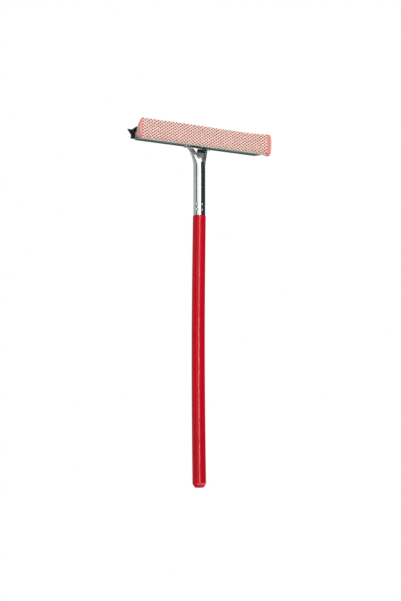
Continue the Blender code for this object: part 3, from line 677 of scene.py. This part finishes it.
class SQUEEGEE_OT_small_steel(bpy.types.Operator):
    """Plate the rivets and the sponge clamp, whose solids are kept"""
    bl_idname = "squeegee.small_steel"
    bl_label = "Rivets and clamp"

    def execute(self, context):
        look = context.scene.squeegee_ferrule
        steel = plated_steel("rivet_steel", look.steel, look.roughness * 1.3, 0.6, (400.0, 400.0, 400.0))
        for node in ("rivet_left", "rivet_right", "sponge_clamp"):
            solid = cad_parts[node]
            solid.data.materials.clear()
            solid.data.materials.append(steel)
        return {"FINISHED"}


# Channel
# Rounding of the cut edges, middle radius of the bends, depth of the clipped corners from the back, and a
# crimp's half length and half height
EDGE_ROUND = 0.25 * MM
BEND_RADIUS = 1.2 * MM
CLIP_DEPTH = 8.6 * MM
CRIMP_REACH = 3.0 * MM
CRIMP_RISE = 1.6 * MM


def channel_section(look):
    """Closed outline (y, z) of the U section: its outer face down, round the bends and up, then its inner
    face back."""
    low, high = CHANNEL_BOX
    half = (high.y - low.y) / 2
    middle = (high.y + low.y) / 2
    edge = high.z - EDGE_ROUND

    def face(side, reach, floor, bend, steps):
        """Wall, bend, web, bend and wall of one face, from the wall on that side to the other one."""
        start, end = (math.pi, 3 * math.pi / 2) if side < 0 else (0.0, -math.pi / 2)
        turn = side * (reach - bend)
        return [
            np.column_stack([np.full(14, side * reach), np.linspace(edge, floor + bend, 14)]),
            arc((turn, floor + bend), bend, start, end, steps)[1:],
            np.column_stack([np.linspace(turn, -turn, 12)[1:], np.full(11, floor)]),
            arc((-turn, floor + bend), bend, -math.pi / 2, 0.0 if side < 0 else -math.pi, steps)[1:],
            np.column_stack([np.full(13, -side * reach), np.linspace(floor + bend, edge, 14)[1:]]),
        ]

    bend = BEND_RADIUS + look.sheet / 2
    inside = half - look.sheet
    outline = np.vstack([
        *face(-1, half, low.z, bend, 8),
        [(half - EDGE_ROUND, high.z), (inside + EDGE_ROUND, high.z)],
        *face(1, inside, low.z + look.sheet, bend - look.sheet, 5),
        [(-inside - EDGE_ROUND, high.z), (-half + EDGE_ROUND, high.z)],
    ])
    return outline + np.array([middle, 0.0])


def channel_surface(look):
    """Section swept along X; each point's y moves inwards by the crimp's hill, and its x ends on the line
    that clips the back corner."""
    low, high = CHANNEL_BOX
    section = channel_section(look)
    middle = (high.y + low.y) / 2
    places = np.arange(-3, 4) * look.crimp_pitch
    coarse = np.linspace(-1.0, 1.0, 61)
    dense = (places[:, None] + np.linspace(-3.0, 3.0, 17) * MM).ravel() / high.x
    along = np.unique(np.round(np.concatenate([coarse, dense]), 5))[:, None]
    y = section[None, :, 0]
    z = section[None, :, 1]
    clipped = np.clip((y - (high.y - CLIP_DEPTH)) / CLIP_DEPTH, 0.0, 1.0) * look.clip_length
    x = along * (high.x - clipped)
    pressed = np.max(hill(x[..., None] - places, CRIMP_REACH), axis=-1)
    pressed = pressed * hill(z - (low.z + high.z) / 2, CRIMP_RISE) * look.crimp_depth
    y = y + np.sign(middle - y) * pressed
    points = np.stack([x, y + 0.0 * x, z + 0.0 * x], axis=-1)
    rows, count = points.shape[:2]
    channel = mesh_object("steel_channel", points, grid_faces(rows, count, wrap=True))
    fill_rims(channel, [set(range(row * count, (row + 1) * count)) for row in (0, rows - 1)])
    return channel


class SQUEEGEE_OT_channel(bpy.types.Operator):
    """Press the steel channel that holds the rubber"""
    bl_idname = "squeegee.channel"
    bl_label = "Blade channel"

    def execute(self, context):
        look = context.scene.squeegee_head
        finish = context.scene.squeegee_ferrule
        channel = channel_surface(look)
        smooth(channel, math.radians(35.0))
        # Painted shade: the channel's steel is given a dark teal, which stands in for the shade and dark
        # reflections on its underside.
        steel = plated_steel("shaded_channel_steel", look.steel, finish.roughness * 1.4, 0.6, (18.0, 900.0, 900.0))
        dress(channel, steel, "blade_channel", slot="plated_steel")
        return {"FINISHED"}


# Rubber blade
# Half widths of the foot and the neck, reach and cut edge of a lip, and the hollow core's height, half width
# and half height
FOOT_HALF = 4.2 * MM
NECK_HALF = 3.4 * MM
LIP_REACH = 14.2 * MM
LIP_EDGE = 1.3 * MM
CORE_MIDDLE = 8.8 * MM
CORE_WIDE = 1.6 * MM
CORE_TALL = 2.0 * MM


def blade_side(rise, flank):
    """One side of the blade's section, from its foot to the valley between its lips: foot, neck and then two
    quadratic curves that meet at the lip's cut edge; flank bends the lower one."""
    return np.vstack([
        arc((FOOT_HALF - 0.5 * MM, 0.5 * MM), 0.5 * MM, -math.pi / 2, 0.0, 5),
        [(FOOT_HALF, 1.4 * MM), (FOOT_HALF - 0.3 * MM, 1.7 * MM), (NECK_HALF, 2.0 * MM),
         (NECK_HALF, 5.6 * MM), (FOOT_HALF - 0.3 * MM, 5.9 * MM), (FOOT_HALF, 6.2 * MM)],
        quadratic((FOOT_HALF, 6.2 * MM), flank, (LIP_REACH, rise - LIP_EDGE), 18),
        [(LIP_REACH + 0.02 * MM, rise - LIP_EDGE / 2), (LIP_REACH, rise)],
        quadratic((LIP_REACH, rise), (6.0 * MM, 13.0 * MM), (0.0, 12.4 * MM), 18),
    ])


def blade_surface(look):
    """Section with a hollow core, swept along X; the lips ripple as sines of x that grow with their reach."""
    back = blade_side(16.8 * MM, (7.0 * MM, 8.9 * MM))
    front = (blade_side(13.2 * MM, (5.4 * MM, 9.3 * MM)) * np.array([-1.0, 1.0]))[::-1]
    outline = np.vstack([back, front[1:]])
    turn = np.linspace(0.0, 2 * math.pi, 28, endpoint=False)
    core = np.column_stack([CORE_WIDE * np.cos(turn), CORE_MIDDLE + CORE_TALL * np.sin(turn)])
    low, high = BLADE_BOX
    x = np.linspace(low.x, high.x, 90)[:, None]
    loops = []
    faces = []
    first = 0
    for loop in (outline, core):
        y = loop[None, :, 0] + 0.0 * x
        z = loop[None, :, 1] + 0.0 * x
        reach = (np.clip(np.abs(y) / LIP_REACH, 0.3, 1.0) - 0.3) ** 2
        ripple = np.sin(x * 70.0 + 0.6) + 0.5 * np.sin(x * 190.0 + 2.0)
        z = z + look.ripple * ripple * reach * np.where(y > 0, 1.0, 0.6)
        loops.append(np.stack([x + 0.0 * y, y + HEAD_MIDDLE, z + low.z], axis=-1).reshape(-1, 3))
        faces += grid_faces(len(x), len(loop), wrap=True, first=first)
        first += len(loops[-1])
    points = np.concatenate(loops)
    blade = mesh_object("rubber_blade", points, faces)
    fill_rims(blade, [set(np.flatnonzero(points[:, 0] == end).tolist()) for end in (x[0, 0], x[-1, 0])])
    return blade


class SQUEEGEE_OT_blade(bpy.types.Operator):
    """Extrude the rubber blade with its two lips"""
    bl_idname = "squeegee.blade"
    bl_label = "Rubber blade"

    def execute(self, context):
        look = context.scene.squeegee_head
        blade = blade_surface(look)
        smooth(blade, math.radians(35.0))
        dress(blade, moulded_rubber(look.rubber), "wiper_blade", slot="black_rubber")
        return {"FINISHED"}


# Sponge and net
# Foam section from the upper jaw over the front to the lower jaw, as shares of its depth forwards and of its
# height upwards
SPONGE_SHARES = (
    (0.20, 0.45), (0.36, 0.46), (0.46, 0.53), (0.52, 0.62), (0.61, 0.715), (0.75, 0.82), (0.88, 0.93),
    (0.965, 0.975), (1.0, 0.86), (1.0, 0.50), (0.99, 0.27), (0.95, 0.13), (0.82, 0.07), (0.60, 0.07),
    (0.34, 0.12), (0.12, 0.19),
)
SPONGE_DEPTH = 17.5 * MM
SPONGE_HEIGHT = 29.5 * MM
# How far the foam's section starts below the channel, and a jaw's sheet with the clearance inside it
SPONGE_DROP = 5.0 * MM
JAW = 1.1 * MM
# Length over which the foam's ends draw back, how far in front of the handle's axis its tail's inset starts,
# and the depth over which that inset grows
END_REACH = 14.0 * MM
TAIL_START = 13.0 * MM
TAIL_BLEND = 3.0 * MM
# How far the foam rises beyond the net, and the share of the way round it that the net leaves free at each
# jaw
FREE_FOAM = 0.4 * MM
NET_MARGIN = 0.03
# Turns of a yarn's strands over its length, as UV units a metre
TWIST = 900.0


def smooth_path(points, steps):
    """Catmull-Rom curve through the points, with that many steps between neighbours."""
    points = np.asarray(points)
    longer = np.vstack([2 * points[0] - points[1], points, 2 * points[-1] - points[-2]])
    t = (np.arange(steps) / steps)[None, :, None]
    a, b, c, d = (longer[i:len(longer) - 3 + i, None, :] for i in range(4))
    dense = 0.5 * (2 * b + (c - a) * t + (2 * a - 5 * b + 4 * c - d) * t ** 2
                   + (3 * b - a - 3 * c + d) * t ** 3)
    return np.vstack([dense.reshape(-1, 2), points[-1:]])


def foam_path():
    """Even path (y, z) round the foam from the clamp's upper jaw to its lower jaw, and its length."""
    back = CLAMP_BOX[0].y - CLEARANCE
    bottom = CHANNEL_BOX[0].z - SPONGE_DROP
    points = [(back, CLAMP_BOX[1].z - JAW)]
    points += [(back - SPONGE_DEPTH * depth, bottom + SPONGE_HEIGHT * height)
               for depth, height in SPONGE_SHARES]
    points.append((back, CLAMP_BOX[0].z + JAW))
    path = even_path(smooth_path(points, 24), 700)
    length = float(np.sum(np.linalg.norm(np.diff(path, axis=0), axis=1)))
    return path, length


def foam_place(x, run, lift):
    """Point at a distance along the foam's path and a lift off it. Most on the front, the lift loses draw_in
    times a hill 45 mm right of the middle and gains flare times a smooth step from 82 mm on. From 86 mm on
    the lower front edge also sinks, by sag times a smooth step over 20 mm."""
    path, length = foam_path()
    step = np.gradient(path, axis=0)
    outward = unit(np.column_stack([step[:, 1], -step[:, 0]]))
    stations = np.linspace(0.0, length, len(path))
    place = [np.interp(run, stations, path[:, i]) for i in (0, 1)]
    normal = [np.interp(run, stations, outward[:, i]) for i in (0, 1)]
    front = hill(run / length - 0.5, 0.42)
    look = bpy.context.scene.squeegee_sponge
    drawn = look.draw_in * hill(x - 45.0 * MM, 62.0 * MM)
    flared = look.flare * smooth_step((x - 82.0 * MM) / (25.0 * MM))
    lift = lift + (flared - drawn) * front
    sunk = look.sag * smooth_step((x - 86.0 * MM) / (20.0 * MM)) * hill(run / length - 0.8, 0.2)
    return np.stack([x + 0.0 * run, place[0] + normal[0] * lift, place[1] + normal[1] * lift - sunk],
                    axis=-1)


def foam_normal(x, run, lift):
    """Point of the foam at a lift, and the unit vector that leads straight off the foam there."""
    centre = foam_place(x, run, lift)
    return centre, unit(foam_place(x, run, lift + 1.0 * MM) - centre)


def mesh_phase(x, run):
    """Distances along the net's two families of yarns, in pitches; a yarn lies at each whole number."""
    look = bpy.context.scene.squeegee_net
    u = (x + look.shift) / look.pitch_along
    v = run / look.pitch_round
    return u + v, u - v


def foam_surface(look, stations=330, columns=190):
    """Closed ring swept along X. Under the net the foam's lift is bulge f - press (1 - f), where f is
    |sin(pi p) sin(pi q)| to the power 0.6 over the net's two phases p and q. A straight tail runs back from
    the ring's ends into the clamp, and shrinking copies of the last rings close both ends. Near them x draws
    back by the end's crown times the square of the height from the section's middle, and by tail_inset at
    the tail."""
    length = foam_path()[1]
    half = SPONGE_BOX[1].x
    turn = look.end_round
    inner = half - turn
    net_half = NET_BOX[1].x
    body = np.linspace(0.0, length, columns)
    side = np.linspace(-inner, inner, stations)
    rounding = np.sin(np.linspace(0.0, math.pi / 2, 9)[1:])
    ends = inner + turn * rounding
    x = np.concatenate([-ends[::-1], side, ends])
    past = (np.abs(x) - inner) / turn
    tuck = np.where(np.abs(x) > inner, 1.0 - np.sqrt(np.clip(1.0 - past ** 2, 0, 1)), 0.0)
    grid_x, run = np.meshgrid(x, body, indexing="ij")
    p, q = mesh_phase(grid_x, run)
    gap = np.abs(np.sin(np.pi * p) * np.sin(np.pi * q)) ** 0.6
    shift = bpy.context.scene.squeegee_net.shift
    netted = smooth_step((net_half + 0.4 * MM - np.abs(grid_x + shift)) / (1.2 * MM))
    lift = netted * (look.bulge * gap - look.press * (1.0 - gap)) * hill(run / length - 0.5, 0.6)
    lift = lift + FREE_FOAM * (1.0 - netted)
    points = foam_place(grid_x, run, lift)
    centre = points.mean(axis=1, keepdims=True)
    tail_y = CLAMP_BOX[1].y - JAW
    reach = np.linspace(1.0, 0.0, 9)[:-1]
    tail_top = np.repeat(points[:, :1], len(reach), axis=1)
    tail_bottom = np.repeat(points[:, -1:], len(reach), axis=1)
    tail_top[..., 1] += (tail_y - tail_top[..., 1]) * reach
    tail_bottom[..., 1] += (tail_y - tail_bottom[..., 1]) * reach[::-1]
    rise = np.linspace(0.0, 1.0, 9)[None, 1:-1, None]
    tail_end = tail_bottom[:, -1:] + (tail_top[:, :1] - tail_bottom[:, -1:]) * rise
    points = np.concatenate([tail_top, points, tail_bottom, tail_end], axis=1)
    pinch = 1.0 - turn / SPONGE_HEIGHT * tuck[:, None, None]
    points = np.concatenate([points[..., :1], centre[..., 1:] + (points[..., 1:] - centre[..., 1:]) * pinch],
                            axis=-1)
    caps = []
    for end in (0, -1):
        shrink = np.linspace(1.0, 0.0, 24)[1:, None, None]
        ring = points[end][None]
        middle = ring.mean(axis=1, keepdims=True)
        middle[..., 2] = (ring[:, :1, 2] + ring[:, -len(rise[0]) - 1, 2]) / 2
        cap = middle + (ring - middle) * shrink
        cap[..., 0] = ring[..., 0] - np.sign(ring[..., 0]) * 0.5 * MM * (1.0 - shrink[..., 0]) ** 2
        caps.append(cap)
    points = np.concatenate([caps[0][::-1], points, caps[1]], axis=0)
    tall = (points[..., 2:] - centre[..., 2].mean()) / (SPONGE_HEIGHT / 2)
    near_end = smooth_step((np.abs(points[..., :1]) - half + END_REACH) / END_REACH)
    tail = smooth_step((points[..., 1:2] + TAIL_START) / TAIL_BLEND)
    crown = np.where(points[..., :1] < 0.0, look.left_crown, look.right_crown)
    drawn_back = (crown * np.clip(np.abs(tall), 0.0, 1.0) ** 2 + look.tail_inset * tail) * near_end
    points[..., :1] -= np.sign(points[..., :1]) * drawn_back
    return mesh_object("foam_sponge", points, grid_faces(points.shape[0], points.shape[1], wrap=True))


class SQUEEGEE_OT_sponge(bpy.types.Operator):
    """Shape the foam, pressed in by the net's yarns"""
    bl_idname = "squeegee.sponge"
    bl_label = "Sponge"

    def execute(self, context):
        look = context.scene.squeegee_sponge
        sponge = tidy(foam_surface(look))
        smooth(sponge, math.radians(70.0))
        foam = open_cell_foam(look.foam, look.pores, look.netted, look.greyer, NET_BOX[1].x,
                              context.scene.squeegee_net.shift, SPONGE_BOX[1].x, look.tail_inset)
        dress(sponge, foam, "sponge", slot="coral_foam")
        return {"FINISHED"}


def yarn_tubes(look, start, end, half):
    """Tubes round straight lines of the net's plane: x = pitch (k -+ v), run = pitch v. Along a yarn its
    height changes by 0.15 mm up and down as a cosine, so that it passes over and under the others."""
    sides = 6
    angle = np.linspace(0.0, 2 * math.pi, sides, endpoint=False)
    points = []
    texture = []
    faces = []
    first = 0
    radius = look.yarn / 2
    v_low = start / look.pitch_round
    v_high = end / look.pitch_round
    reach = half / look.pitch_along
    for slant in (1.0, -1.0):
        lowest = math.ceil(-reach + slant * v_low if slant > 0 else -reach - v_high)
        highest = math.floor(reach + v_high if slant > 0 else reach - v_low)
        for k in range(lowest, highest + 1):
            near = max(v_low, (k - reach) if slant > 0 else (-reach - k))
            far = min(v_high, (k + reach) if slant > 0 else (reach - k))
            if far - near < 0.3:
                continue
            v = np.linspace(near, far, max(3, int((far - near) * look.steps) + 1))
            x = look.pitch_along * (k - v if slant > 0 else k + v)
            run = look.pitch_round * v
            weave = 0.15 * MM * slant * np.cos(2 * math.pi * v)
            centre, up = foam_normal(x - look.shift, run, radius * 0.55 + weave)
            across = unit(np.cross(unit(np.gradient(centre, axis=0)), up))
            ring = (centre[:, None] + radius * 1.15 * np.cos(angle)[None, :, None] * across[:, None]
                    + radius * 0.85 * np.sin(angle)[None, :, None] * up[:, None])
            distance = np.concatenate([[0.0], np.cumsum(np.linalg.norm(np.diff(centre, axis=0), axis=1))])
            mapped = np.stack([distance[:, None] * TWIST + 0.0 * angle,
                               angle[None] + 0.0 * distance[:, None]], axis=-1)
            points.append(ring.reshape(-1, 3))
            texture.append(mapped.reshape(-1, 2))
            last = first + len(v) * sides
            faces += grid_faces(len(v), sides, wrap=True, first=first)
            faces.append(list(range(first, first + sides)))
            faces.append(list(range(last - sides, last))[::-1])
            first = last
    return points, texture, faces, first


def knot_lumps(look, start, end, half, first):
    """Flattened spheres at the crossings, turned with the surface and stretched along X."""
    rings = 5
    sides = 8
    v_low = math.ceil(2 * start / look.pitch_round + 0.2)
    v_high = math.floor(2 * end / look.pitch_round - 0.2)
    columns = int(2 * half / look.pitch_along)
    half_v, half_u = np.meshgrid(np.arange(v_low, v_high + 1), np.arange(-columns, columns + 1),
                                 indexing="ij")
    keep = (half_v + half_u) % 2 == 0
    x = half_u[keep] * look.pitch_along / 2
    run = half_v[keep] * look.pitch_round / 2
    inside = np.abs(x) < half - 0.2 * MM
    x = x[inside] - look.shift
    run = run[inside]
    centre, up = foam_normal(x, run, np.full(len(x), look.yarn * 0.35))
    along = np.zeros_like(up)
    along[:, 0] = 1.0
    across = np.cross(up, along)
    polar = np.linspace(0.0, math.pi, rings)[:, None]
    around = np.linspace(0.0, 2 * math.pi, sides, endpoint=False)[None]
    radius = look.knot / 2
    flat = np.stack([np.sin(polar) * np.cos(around) * radius * 1.15,
                     np.sin(polar) * np.sin(around) * radius,
                     (np.cos(polar) + 0.0 * around) * radius * 0.8], axis=-1).reshape(-1, 3)
    points = (centre[:, None] + flat[None, :, :1] * along[:, None] + flat[None, :, 1:2] * across[:, None]
              + flat[None, :, 2:] * up[:, None])
    one = np.array(grid_faces(rings, sides, wrap=True))[:, ::-1]
    starts = first + np.arange(len(x)) * rings * sides
    faces = (one[None] + starts[:, None, None]).reshape(-1, 4).tolist()
    mapped = np.column_stack([np.repeat(np.arange(rings) * 3.0, sides), np.tile(around[0] * 2, rings)])
    return points.reshape(-1, 3), np.tile(mapped, (len(x), 1)), faces


class SQUEEGEE_OT_net(bpy.types.Operator):
    """Knot the net and stretch it round the foam"""
    bl_idname = "squeegee.net"
    bl_label = "Net"

    def execute(self, context):
        look = context.scene.squeegee_net
        length = foam_path()[1]
        half = NET_BOX[1].x
        start, end = NET_MARGIN * length, (1.0 - NET_MARGIN) * length
        points, texture, faces, first = yarn_tubes(look, start, end, half)
        lumps, lump_texture, lump_faces = knot_lumps(look, start, end, half, first)
        net = mesh_object("knotted_net", np.vstack(points + [lumps]), faces + lump_faces,
                          np.vstack(texture + [lump_texture]))
        tidy(net, 0.0000005)
        smooth(net, math.radians(80.0))
        dress(net, twisted_yarn(look.colour, look.groove_shade), "net", slot="cream_net")
        return {"FINISHED"}


# Studio
def direction(azimuth, elevation):
    """Unit vector from the object to a place seen at those angles; azimuth 0 is in front, at -Y."""
    return Vector((math.sin(azimuth) * math.cos(elevation), -math.cos(azimuth) * math.cos(elevation),
                   math.sin(elevation)))


def aim(item, target):
    """Turn a light or the camera to look at the target."""
    item.rotation_mode = "QUATERNION"
    item.rotation_quaternion = (target - item.location).to_track_quat("-Z", "Y")


def soft_light(name, azimuth, elevation, distance, width, height, power, target):
    """Rectangular area light that stands in that direction from the target and faces it."""
    lamp = bpy.data.lights.new(name, "AREA")
    lamp.shape = "RECTANGLE"
    lamp.size = width
    lamp.size_y = height
    lamp.energy = power
    made = bpy.data.objects.new(name, lamp)
    bpy.context.scene.collection.objects.link(made)
    made.location = target + direction(azimuth, elevation) * distance
    aim(made, target)


def reflection_card(name, start, end, radius, colour, strength):
    """Part of an upright cylinder round the object that shows only in reflections."""
    angle = np.linspace(start, end, 25)[None, :]
    height = np.linspace(*CARD_HEIGHTS, 2)[:, None]
    points = np.stack([radius * np.sin(angle) + 0.0 * height, -radius * np.cos(angle) + 0.0 * height,
                       height + 0.0 * angle], axis=-1)
    card = mesh_object(name, points, grid_faces(2, 25))
    card.data.materials.append(lit_card(name, colour, strength))
    for ray in ("camera", "diffuse", "shadow", "transmission", "volume_scatter"):
        setattr(card, "visible_" + ray, False)


FLOOR_HALF = 6.0
FLOOR_DROP = 0.1 * MM
# Heights of the cards' lower and upper edges
CARD_HEIGHTS = (-0.7, 1.4)
# Name, first and last angle from the camera's side, radius, colour and strength of each card
REFLECTION_CARDS = (
    ("white_card", -42.0, 32.0, 1.3, (1.0, 1.0, 1.0), 1.35),
    ("highlight_card", 5.0, 13.5, 1.2, (1.0, 1.0, 1.0), 24.0),
    ("charcoal_card", 32.0, 132.0, 1.3, (0.035, 0.04, 0.04), 1.0),
    ("rear_card", 132.0, 205.0, 1.3, (0.07, 0.1, 0.1), 1.0),
    ("dark_line_card", -63.0, -42.0, 1.3, (0.05, 0.06, 0.06), 1.0),
    ("grey_card", -155.0, -63.0, 1.3, (0.60, 0.63, 0.63), 1.0),
)


def set_world(ambient):
    """White to the camera, reflections and transmitted rays; a plain even light to everything else."""
    world = bpy.data.worlds.new("studio_world")
    bpy.context.scene.world = world
    world.use_nodes = True
    tree = world.node_tree
    tree.nodes.clear()
    rays = tree.nodes.new("ShaderNodeLightPath").outputs
    seen = rays["Is Camera Ray"]
    for ray in ("Is Glossy Ray", "Is Transmission Ray"):
        either = tree.nodes.new("ShaderNodeMath")
        either.operation = "MAXIMUM"
        tree.links.new(seen, either.inputs[0])
        tree.links.new(rays[ray], either.inputs[1])
        seen = either.outputs[0]
    mix = tree.nodes.new("ShaderNodeMixShader")
    tree.links.new(seen, mix.inputs["Fac"])
    for place, strength in ((1, ambient), (2, 1.0)):
        light = tree.nodes.new("ShaderNodeBackground")
        light.inputs["Color"].default_value = (1.0, 1.0, 1.0, 1.0)
        light.inputs["Strength"].default_value = strength
        tree.links.new(light.outputs[0], mix.inputs[place])
    out = tree.nodes.new("ShaderNodeOutputWorld")
    tree.links.new(mix.outputs[0], out.inputs["Surface"])


class SQUEEGEE_OT_studio(bpy.types.Operator):
    """Set up the floor, lights, reflection cards and camera"""
    bl_idname = "squeegee.studio"
    bl_label = "Studio"

    def execute(self, context):
        look = context.scene.squeegee_studio
        context.scene.view_settings.view_transform = "Standard"
        set_world(look.ambient)
        side = np.array([-FLOOR_HALF, FLOOR_HALF])
        x, y = np.meshgrid(side, side)
        floor = mesh_object("floor", np.stack([x, y, 0.0 * x - FLOOR_DROP], axis=-1), grid_faces(2, 2))
        floor.data.materials.append(one_sided_floor(look.floor))
        azimuth = look.camera_azimuth
        middle = Vector((0.0, 0.0, look.aim_height))
        soft_light("key_light", azimuth + math.radians(24.0), math.radians(34.0), 1.8, 1.3, 1.3, look.key,
                   middle)
        soft_light("strip_light", azimuth + math.radians(20.0), 0.0, 1.5, 0.24, 1.7, look.strip, middle)
        for name, first, last, radius, colour, strength in REFLECTION_CARDS:
            reflection_card(name, azimuth + math.radians(first), azimuth + math.radians(last), radius,
                            colour, strength)
        lens = bpy.data.cameras.new("camera")
        lens.lens = lens.sensor_width * look.focal_share
        camera = bpy.data.objects.new("camera", lens)
        context.scene.collection.objects.link(camera)
        right = Vector((math.cos(azimuth), math.sin(azimuth), 0.0))
        target = middle + right * look.aim_right
        camera.location = target + direction(azimuth, look.camera_elevation) * look.camera_distance
        aim(camera, target)
        context.scene.camera = camera
        return {"FINISHED"}


# Panel and registration
OPERATORS = (
    SQUEEGEE_OT_handle, SQUEEGEE_OT_ferrule, SQUEEGEE_OT_small_steel, SQUEEGEE_OT_channel, SQUEEGEE_OT_blade,
    SQUEEGEE_OT_sponge, SQUEEGEE_OT_net, SQUEEGEE_OT_studio,
)
SETTINGS = {
    "squeegee_handle": SQUEEGEE_PG_handle,
    "squeegee_ferrule": SQUEEGEE_PG_ferrule,
    "squeegee_head": SQUEEGEE_PG_head,
    "squeegee_sponge": SQUEEGEE_PG_sponge,
    "squeegee_net": SQUEEGEE_PG_net,
    "squeegee_studio": SQUEEGEE_PG_studio,
}


class SQUEEGEE_PT_panel(bpy.types.Panel):
    """Buttons and sizes of the squeegee"""
    bl_idname = "SQUEEGEE_PT_panel"
    bl_label = "Squeegee"
    bl_space_type = "VIEW_3D"
    bl_region_type = "UI"
    bl_category = "Squeegee"

    def draw(self, context):
        for operator in OPERATORS:
            self.layout.operator(operator.bl_idname)
        for name in SETTINGS:
            group = getattr(context.scene, name)
            box = self.layout.box()
            for key in group.bl_rna.properties.keys():
                if key not in ("rna_type", "name"):
                    box.prop(group, key)


def register():
    for group in SETTINGS.values():
        bpy.utils.register_class(group)
    for name, group in SETTINGS.items():
        setattr(bpy.types.Scene, name, PointerProperty(type=group))
    for operator in OPERATORS:
        bpy.utils.register_class(operator)
    bpy.utils.register_class(SQUEEGEE_PT_panel)


def unregister():
    bpy.utils.unregister_class(SQUEEGEE_PT_panel)
    for operator in reversed(OPERATORS):
        bpy.utils.unregister_class(operator)
    for name in SETTINGS:
        delattr(bpy.types.Scene, name)
    for group in SETTINGS.values():
        bpy.utils.unregister_class(group)


def main():
    register()
    for operator in OPERATORS:
        group, name = operator.bl_idname.split(".")
        getattr(getattr(bpy.ops, group), name)()
    bpy.context.view_layer.update()


if __name__ == "__main__":
    main()
